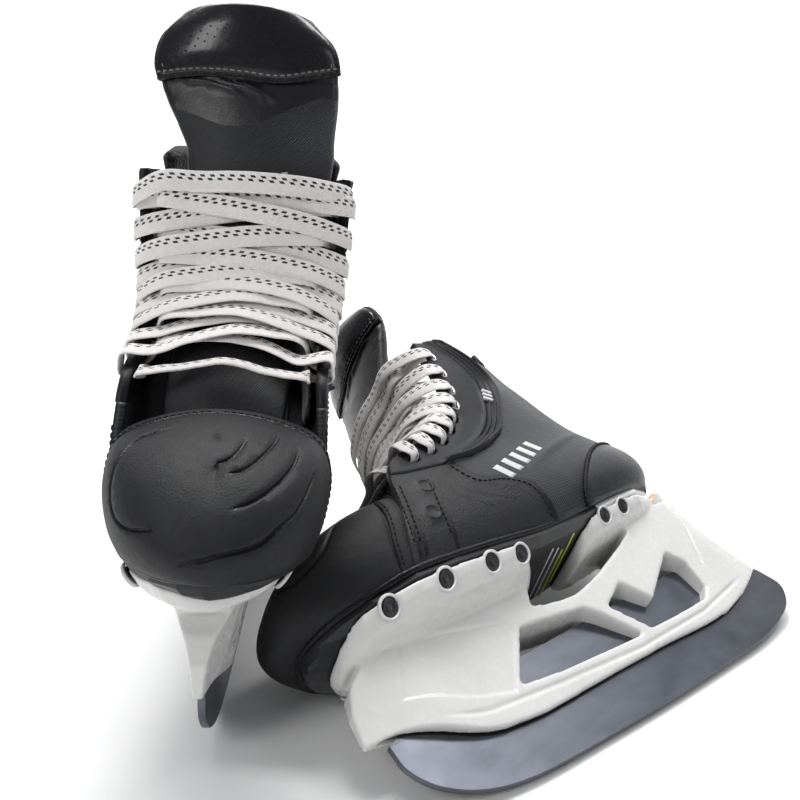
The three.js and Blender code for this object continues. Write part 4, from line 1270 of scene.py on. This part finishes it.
def tongue_reach(p, forward):
    """How far it is from p along forward to the front of the tongue, whose sides fall back."""
    share = min(abs(p[1] + float(tongue_lean(p[2]))) / float(tongue_width(p[2])), 1)
    best = 0.0
    for (x0, z0), (x1, z1) in zip(TONGUE_LINE, TONGUE_LINE[1:]):
        across = forward[0] * (z1 - z0) - forward[2] * (x1 - x0)
        s = ((x0 - p[0]) * (z1 - z0) - (z0 - p[2]) * (x1 - x0)) / across
        t = ((x0 - p[0]) * forward[2] - (z0 - p[2]) * forward[0]) / across
        if 0 <= t <= 1:
            best = max(best, s)
    return best - TONGUE_SAG * share * share


def lace_across(i, k, hand, over):
    """Across the tongue from eyelet i on one side to eyelet k on the other; over is +1 for the upper strand."""
    stops = []
    start, row_a = lace_at(i, hand, EYELET_SETBACK, -2)
    end, row_b = lace_at(k, -hand, EYELET_SETBACK, -2)
    for u in (0.12, 0.3, 0.5, 0.7, 0.88):
        p = start + (end - start) * u
        row = unit(row_a + (row_b - row_a) * u)
        forward = np.array([row[2], 0, -row[0]])
        height = 5.4 - 2.8 * u + 1.6 * over + max(1.4 - 0.35 * i, 0)
        stops.append((p + forward * (tongue_reach(p, forward) + height), row, LACE_CROSSING_WIDTH))
    return stops


def lace_route():
    top = len(EYELETS) - 1

    def side_up(hand):
        stops, at = [], hand
        for i in range(top):
            stops += lace_out(i, at) + lace_across(i, i + 1, at, hand)
            at = -at
        stops += lace_out(top, at)
        tail = lace_across(top, top, at, hand)
        rise = 5 if hand > 0 else -1
        tail = [(p + (0, 0, rise), row, w) for p, row, w in tail]
        end, row = lace_at(top, -at, EYELET_SETBACK, 1.5)
        tucked, _ = lace_at(top, -at, 1, -WALL - 3)
        return stops + tail + [(end + (0, 0, rise), row, LACE_CROSSING_WIDTH), (tucked, row, LACE_WIDTH)]

    bar = []
    for u in (-0.92, -0.5, 0, 0.5, 0.92):
        p, row = lace_at(0, 1, 8, -WALL - 2.6)
        p = p * (1, u, 1)
        forward = np.array([row[2], 0, -row[0]])
        low = 19 - 9 * (1 - u * u)
        bar.append((p + forward * (max(tongue_reach(p, forward), 0) + 2.6) - row * low, row, LACE_WIDTH))
    return side_up(-1)[::-1] + bar + side_up(1)


def lace():
    route = lace_route()
    stops = len(route)
    steps = (stops - 1) * 6 + 1
    centre = spline([p for p, _, _ in route], steps)
    tangent = unit(np.gradient(centre, axis=0))
    at = np.linspace(0, stops - 1, steps)
    rows = np.array([row for _, row, _ in route])
    row = np.stack([np.interp(at, np.arange(stops), rows[:, k]) for k in range(3)], axis=1)
    half = np.interp(at, np.arange(stops), [w for _, _, w in route]) / 2
    wide = unit(row - tangent * np.sum(row * tangent, axis=1, keepdims=True))
    thick = np.cross(tangent, wide)
    run = np.concatenate([[0], np.cumsum(np.linalg.norm(np.diff(centre, axis=0), axis=1))])
    turns = np.linspace(0, 2 * math.pi, 20, endpoint=False)
    a = np.sign(np.cos(turns)) * np.abs(np.cos(turns)) ** 0.7
    b = np.sign(np.sin(turns)) * np.abs(np.sin(turns)) ** 0.8
    sway = 0.25 * np.sin(run * 0.21) + 0.18 * np.sin(run * 0.53 + 1.0)
    cup = 0.35 * np.sin(run * 0.083)
    rings = (
        centre[:, None]
        + wide[:, None] * (half[:, None] * a[None])[..., None]
        + thick[:, None] * (LACE_THICKNESS / 2 * b[None] + (cup[:, None] * a[None] ** 2) + sway[:, None] * 0.5)[..., None]
    )
    points, faces = tube_grid(rings)
    add_piece(
        "lace", points, faces, [LOOKS["lace"]], "lace", nodes=["lace"],
        attributes={"run": np.repeat(run, 20), "across": np.tile(a, steps)},
    )


lace()


# ---------------------------------------------------------------- holder, runner and hardware
HOLDER_VOXEL = 0.9
NOSE_START = 92
NOSE_LIFT = 8.5
NOSE_PINCH = 0.42
HOLDER_PANEL = [(116, 69), (58, 61.5), (56, 56.5), (74, 32), (91, 35.5), (126, 46)]
HOLDER_LINES = [
    ([(118, 33), (90, 29.5), (48, 27.5), (-11, 26), (-71, 29), (-125, 38)], 3.0, -0.8),
    ([(-97, 50), (-108, 72), (-118, 92)], 3.0, -0.6),
    ([(132, 64), (112, 73), (78, 71), (44, 72)], 2.6, -0.7),
]


def nose_lift(x, z):
    """How far the holder's nose is raised above its CAD shape, to show the front of the runner."""
    return NOSE_LIFT * smooth_step((x - NOSE_START) / 45) * smooth_step((56 - z) / 30)


def seat_trim(points):
    """How far to lower the holder's shape round the release bolt, so the bolt's head stands clear of its seat."""
    direction = np.array([-math.cos(BOLT_SLOPE), 0.0, math.sin(BOLT_SLOPE)])
    away = points - BOLT_HEAD
    along = away @ direction
    around = np.linalg.norm(away - along[:, None] * direction, axis=1)
    trim = np.maximum(along + BOLT_SEAT, 0) * smooth_step((BOLT_SEAT_RADIUS - around) / 6)
    return trim[:, None] * direction


def shape_at(source, place, axes, origin):
    """The nearest place on a CAD node, in its skate's own millimetres."""
    _, nearest, _, _ = source.closest_point_on_mesh(Vector(place))
    return (np.array(nearest) - origin) @ axes / MM


def holder():
    """The holder's CAD shape with moulded, rounded edges and its panel and crease lines."""
    source = frame["nodes"]["left_holder"]
    axes, origin = SKATES["left"]
    co = np.zeros(len(source.data.vertices) * 3, np.float32)
    source.data.vertices.foreach_get("co", co)
    mesh = source.data.copy()
    local = (co.reshape(-1, 3) - origin) @ axes / MM
    mesh.vertices.foreach_set("co", local.astype(np.float32).ravel())
    shape = bpy.data.objects.new("holder_shape", mesh)
    bpy.context.scene.collection.objects.link(shape)
    remesh = shape.modifiers.new("remesh", "REMESH")
    remesh.mode = "VOXEL"
    remesh.voxel_size = HOLDER_VOXEL
    smooth = shape.modifiers.new("smooth", "SMOOTH")
    smooth.factor = 0.5
    smooth.iterations = 14
    made = bpy.data.meshes.new_from_object(shape.evaluated_get(bpy.context.evaluated_depsgraph_get()))
    points = np.zeros(len(made.vertices) * 3, np.float32)
    made.vertices.foreach_get("co", points)
    points = points.reshape(-1, 3).astype(float)
    normals = np.zeros(len(made.vertices) * 3, np.float32)
    made.vertices.foreach_get("normal", normals)
    normals = normals.reshape(-1, 3)
    faces = [tuple(face.vertices) for face in made.polygons]
    bpy.data.objects.remove(shape)
    flat = points[:, [0, 2]]
    side = np.clip((np.abs(normals[:, 1]) - 0.75) / 0.15, 0, 1)
    d, _ = distance_to(flat, HOLDER_PANEL, closed=True)
    signed = np.where(inside(flat, HOLDER_PANEL), d, -d)
    depth = 0.7 * smooth_step((signed + 0.8) / 1.6)
    for line, width, top in HOLDER_LINES:
        away, share = distance_to(flat, line)
        ends = smooth_step(share / 0.1) * smooth_step((1 - share) / 0.1)
        depth += -top * np.clip(1 - (2 * away / width) ** 2, 0, 1) ** 1.5 * ends
    points = points - normals * (depth * side)[:, None]
    slot = (points[:, 0] < -86) & (np.abs(points[:, 1]) < 5)
    for k in np.nonzero(slot)[0]:
        points[k] = shape_at(source, to_row("left", points[k]), axes, origin)
    points -= seat_trim(points)
    points[:, 2] += nose_lift(points[:, 0], points[:, 2])
    points[:, 1] *= 1 - NOSE_PINCH * smooth_step((points[:, 0] - 112) / 34) * smooth_step((78 - points[:, 2]) / 30)
    add_piece("holder", points, faces, [LOOKS["holder"]], "holder", nodes=["holder"])


holder()


HOLDER_EDGE = [  # the holder's lower edge, where it meets the runner
    (133, 30), (122, 28.4), (112, 26.8), (88, 21.4), (64, 19.7), (20, 21.4), (-30, 22.7), (-67, 22.5), (-90, 23.9),
    (-114, 28.9), (-134, 35.9), (-148, 41.5),
]


def runner():
    """The steel runner: a flat blade with its ice edge a smooth curve and its rims eased."""
    bottom = spline(RUNNER_OUTLINE[:15], 130)
    outline = np.vstack([bottom, RUNNER_OUTLINE[15:]])
    half = RUNNER_THICKNESS / 2
    count = len(outline)
    tangent = unit(np.roll(outline, -1, axis=0) - np.roll(outline, 1, axis=0))
    inward = np.stack([-tangent[:, 1], tangent[:, 0]], axis=1)
    area = np.sum(outline[:, 0] * np.roll(outline[:, 1], -1) - np.roll(outline[:, 0], -1) * outline[:, 1])
    if area < 0:
        inward = -inward
    ease = 0.25
    layers = [(-half, ease), (-half + ease, 0.0), (half - ease, 0.0), (half, ease)]
    points = np.vstack([
        np.stack([p[:, 0], np.full(count, y), p[:, 1]], axis=1) for y, e in layers for p in [outline + inward * e]
    ])
    rings = grid_faces(len(layers), count, closed=True)
    if area < 0:
        rings = [tuple(reversed(face)) for face in rings]
    cdt = delaunay_2d_cdt([Vector(p) for p in outline], [(k, (k + 1) % count) for k in range(count)], [], 1, 1e-6, False)
    triangles = [tuple(face) for face in cdt[2]] if len(cdt[0]) == count else []
    def turned(face, up):
        (x0, y0), (x1, y1), (x2, y2) = (outline[k] for k in face)
        positive = (x1 - x0) * (y2 - y0) - (y1 - y0) * (x2 - x0) > 0
        return face if positive == up else face[::-1]

    near = [turned(face, True) for face in triangles]
    far = [tuple(k + 3 * count for k in turned(face, False)) for face in triangles]
    made = add_piece("runner", points, rings + near + far, [LOOKS["blade"]], "blade", body="runner", nodes=["blade"])
    for piece in made.values():
        normals = piece.modifiers.new("normals", "WEIGHTED_NORMAL")
        normals.keep_sharp = False
        normals.weight = 100
    # A thin near-black strip on each face of the steel along the holder's lower edge: painted shade where the runner
    # goes into the holder.
    seam = spline(HOLDER_EDGE, 90)
    seam[:, 1] += nose_lift(seam[:, 0], seam[:, 1]) + 0.3
    shade_strips = []
    for y in (-half - 0.2, half + 0.2):
        line = np.stack([seam[:, 0], np.full(len(seam), y), seam[:, 1]], axis=1)
        shade_strips.append(bead(line, np.tile([0.0, 1.0, 0.0], (len(line), 1)), 0.5, sides=6, flat=0.4))
    add_piece("holder_edge_painted_shade", *joined(shade_strips), [LOOKS["thread"]], "blade", body="runner")


runner()


def lathe(place, axis, profile, sides=32):
    """A turned solid: profile is [distance along the axis, radius], from end to end."""
    axis = unit(np.asarray(axis, float))
    helper = np.array([0.0, 1.0, 0.0]) if abs(axis[1]) < 0.9 else np.array([1.0, 0.0, 0.0])
    a = unit(np.cross(axis, helper))
    b = np.cross(axis, a)
    turns = np.linspace(0, 2 * math.pi, sides, endpoint=False)
    round_ring = np.outer(np.cos(turns), a) + np.outer(np.sin(turns), b)
    rings = np.stack([place + axis * distance + round_ring * radius for distance, radius in profile])
    return tube_grid(rings)


SOLE_X, SOLE_Z = (np.array([row[k] for row in SOLE_LINE[::-1]]) for k in (0, 1))
FRONT_FLANGE = [
    (139.5, 7), (137, 16), (131, 25), (121, 31.5), (106, 37.4), (84, 38.4), (60, 37), (44, 35.8), (34.5, 32),
    (29, 24), (27.5, 13),
]
REAR_FLANGE = [(-19, 14), (-21, 22), (-27, 27.5), (-40, 29.6), (-60, 29.2), (-80, 27.6), (-98, 20.4), (-110, 9)]
RIVETS = [(x, FRONT_FLANGE) for x in (121, 92, 62, 39.5)] + [(x, REAR_FLANGE) for x in (-40, -60)]
RIVET_HEAD = [(-8, 1.9), (-1.9, 1.9), (-1.8, 3.7), (-1.2, 4.0), (-0.55, 4.0), (-0.25, 3.7), (-0.12, 2.6), (-0.35, 2.2), (-0.35, 0.3)]
RIVET_RING = [(-1.4, 4.4), (-0.3, 4.4), (0.1, 4.6), (0.22, 5.0), (0.1, 5.4), (-0.3, 5.7), (-1.4, 5.7)]


def rivets():
    """Dark rivets through both flanges, each in a raised ring of the holder."""
    heads, names, rings = [], [], []
    for n, (x, stations) in enumerate(RIVETS):
        xs, ws = np.array(stations[::-1], float).T
        y = float(np.interp(x, xs, ws)) * 0.955
        z = float(np.interp(x, SOLE_X, SOLE_Z)) - 7.7
        kind = f"front_rivet_{n + 1}" if n < 4 else f"rear_rivet_{n - 3}"
        for side, hand in (("lateral", 1), ("medial", -1)):
            place = np.array([x, hand * y, z])
            out = (0, hand * 0.8, -0.6)
            heads.append(lathe(place, out, RIVET_HEAD, 24))
            names.append(f"{kind}_{side}")
            rings.append(lathe_ring(place, out))
    add_piece("rivets", *joined(heads), [LOOKS["rivet"]], "rivet", nodes=names)
    add_piece("rivet_rings", *joined(rings), [LOOKS["holder"]], "holder")


def lathe_ring(place, axis):
    """A closed raised ring round a rivet."""
    points, faces = lathe(place, axis, RIVET_RING, 28)
    sides = 28
    last = (len(RIVET_RING) - 1) * sides
    body = [face for face in faces if len(face) == 4]
    body += [(last + c, last + (c + 1) % sides, (c + 1) % sides, c) for c in range(sides)]
    return points, body


rivets()

BOLT_PROFILE = [
    (-BOLT_LENGTH, 1.6), (-BOLT_LENGTH + 1, 2.5), (-5.2, 2.5), (-5.0, 5.0), (-4.6, 5.3), (-3.4, 5.3), (-3.0, 5.0),
    (-2.9, 4.1), (-2.4, 4.4), (2.2, 4.4), (2.9, 3.9), (3.1, 2.9), (3.5, 3.1), (5.6, 3.1), (6.6, 2.4), (6.9, 0.4),
]


def release_bolt():
    direction = (-math.cos(BOLT_SLOPE), 0, math.sin(BOLT_SLOPE))
    points, faces = lathe(BOLT_HEAD, direction, BOLT_PROFILE, 36)
    add_piece("release_bolt", points, faces, [LOOKS["bolt"]], "release_bolt", body="bolt", nodes=["release_bolt"])


release_bolt()
finish_cad_node("lock_hook", LOOKS["steel"], 0.3)
finish_cad_node("outsole", LOOKS["sole"], 0.8)
finish_cad_node("heel_wedge", LOOKS["wedge"], 0.8, top=LOOKS["footbed"])
finish_cad_node("footbed", LOOKS["footbed"], 0.8)


# ---------------------------------------------------------------- printed marks
def printed(surface, corners, lift, depth=0.5):
    """A thin printed patch between four places on a surface, given in order round it."""
    a, b, c, d = (np.asarray(corner, float) for corner in corners)
    steps = np.linspace(0, 1, 7)
    places = np.array([(a + (b - a) * s) * (1 - t) + (d + (c - d) * s) * t for t in steps for s in steps])
    low = surface.at(places, lift - depth)
    count = len(places)
    turn = np.cross(b - a, d - a) > 0
    top = grid_faces(7, 7)
    rim = [*range(7), *range(13, 49, 7), *range(47, 41, -1), *range(35, 0, -7)]
    faces = [*top, *[tuple(count + k for k in reversed(face)) for face in top]]
    faces += [(q, p, p + count, q + count) for p, q in zip(rim, rim[1:] + rim[:1])]
    if not turn:
        faces = [tuple(reversed(face)) for face in faces]
    return np.vstack([surface.at(places, lift), low]), faces


def slanted_bars(start, end, count, height, share=0.5):
    """Corners [x, z] of a row of slanted bars between two points."""
    a, b = np.array(start, float), np.array(end, float)
    along = (b - a) / count
    up = np.array([-along[1], along[0]])
    up = unit(up) * height
    lean = unit(along) * height * 0.3
    bars = []
    for k in range(count):
        foot = a + along * (k + 0.5 - share / 2)
        bars.append([foot, foot + along * share, foot + along * share + up + lean, foot + up + lean])
    return bars


def marks():
    silver = [printed(WALL_SURFACE, on_wall(bar), 0.12) for bar in slanted_bars((27, 127), (-23, 148), 5, 11)]
    add_piece("quarter_bars", *joined(silver), [LOOKS["mark"]], "quarter_shell")
    white = [printed(WALL_SURFACE, on_wall(bar), 3.0, 2.4) for bar in slanted_bars((-14, 183), (-20, 193), 3, 7)]
    add_piece("facing_bars", *joined(white), [LOOKS["mark"]], "eyestay")
    for name, look, places in (
        ("sole_stripes", "mark", [(-2, -20, 20), (4, -18, 22)]),
        ("sole_accents", "accent", [(-8, -24, 16), (-13, -14, 26)]),
    ):
        lines = []
        for x, start, end in places:
            y = np.linspace(start, end, 24)
            along = x + 0.12 * y
            z = np.interp(along, SOLE_X, SOLE_Z) - 7.0
            lines.append(bead(np.stack([along, y, z], axis=1), np.tile([0.0, 0.0, 1.0], (24, 1)), 0.55, flat=0.5))
        add_piece(name, *joined(lines), [LOOKS[look]], "outsole")
    ticks = []
    for k in range(6):
        z = 219 + 3.6 * k
        corners = [(-18.6, z), (-21.4, z + 0.4), (-21.4, z + 1.8), (-18.6, z + 1.4)]
        ticks.append(printed(TONGUE_SURFACE, on_tongue(corners), 0.15))
    add_piece("tongue_ticks", *joined(ticks), [LOOKS["mark"]], "tongue_top")


marks()


# ---------------------------------------------------------------- camera, light and floor
CAMERA_PLACE = (-0.0509, -0.39595, 0.209)
CAMERA_PITCH = math.radians(11.95)  # looks down by this
CAMERA_ROLL = math.radians(2.93)
CAMERA_LENS = 33.7


def camera():
    data = bpy.data.cameras.new("camera")
    data.lens = CAMERA_LENS
    data.sensor_width = 36
    data.clip_start = 0.01
    data.clip_end = 50
    made = bpy.data.objects.new("camera", data)
    made.location = CAMERA_PLACE
    forward = Vector((0, math.cos(CAMERA_PITCH), -math.sin(CAMERA_PITCH)))
    up = Vector((0, math.sin(CAMERA_PITCH), math.cos(CAMERA_PITCH)))
    right = Vector((1, 0, 0))
    turned_right = math.cos(CAMERA_ROLL) * right + math.sin(CAMERA_ROLL) * up
    turned_up = -math.sin(CAMERA_ROLL) * right + math.cos(CAMERA_ROLL) * up
    made.rotation_mode = "QUATERNION"
    columns = [turned_right, turned_up, -forward]
    rotation = [[columns[c][r] for c in range(3)] for r in range(3)]
    from mathutils import Matrix

    made.rotation_quaternion = Matrix(rotation).to_quaternion()
    bpy.context.scene.collection.objects.link(made)
    bpy.context.scene.camera = made


def area_light(name, place, target, size, power, size_y=None):
    data = bpy.data.lights.new(name, "AREA")
    data.shape = "RECTANGLE"
    data.size = size
    data.size_y = size_y or size
    data.energy = power
    made = bpy.data.objects.new(name, data)
    made.location = place
    made.rotation_mode = "QUATERNION"
    made.rotation_quaternion = (Vector(target) - Vector(place)).to_track_quat("-Z", "Y")
    bpy.context.scene.collection.objects.link(made)


def studio():
    world = bpy.data.worlds.new("studio")
    world.use_nodes = True
    background = world.node_tree.nodes["Background"]
    background.inputs["Color"].default_value = (0.94, 0.96, 1.0, 1)
    background.inputs["Strength"].default_value = 0.28
    bpy.context.scene.world = world
    area_light("overhead", (-0.3, 0.25, 1.3), (0, 0, 0.1), 0.7, 10, 0.5)
    area_light("front_panel", (-0.9, -1.2, 1.0), (0, 0, 0.12), 0.45, 9, 0.8)
    area_light("right_panel", (1.5, -0.5, 0.9), (0, 0, 0.1), 0.4, 3, 1.0)
    area_light("backdrop_light", (0, 0.9, 2.6), (0, 2.2, 0.6), 3.5, 120, 0.8)
    sweep = [(-6.0, 0.0), (1.2, 0.0)]
    sweep += [(1.2 + 1.2 * math.sin(t), 1.2 - 1.2 * math.cos(t)) for t in np.linspace(0.1, math.pi / 2, 14)]
    sweep += [(2.4, 4.0)]
    floor = bpy.data.meshes.new("floor")
    points = [(x, y, z) for y, z in sweep for x in (-6.0, 6.0)]
    floor.from_pydata(points, [], [(2 * k, 2 * k + 1, 2 * k + 3, 2 * k + 2) for k in range(len(sweep) - 1)])
    floor.shade_smooth()
    ground = bpy.data.objects.new("floor", floor)
    ground.data.materials.append(Shader("floor_paper", (0.82, 0.82, 0.82), 0.9, specular=0.2).material)
    bpy.context.scene.collection.objects.link(ground)


camera()
studio()
bpy.context.scene.view_settings.view_transform = "Standard"
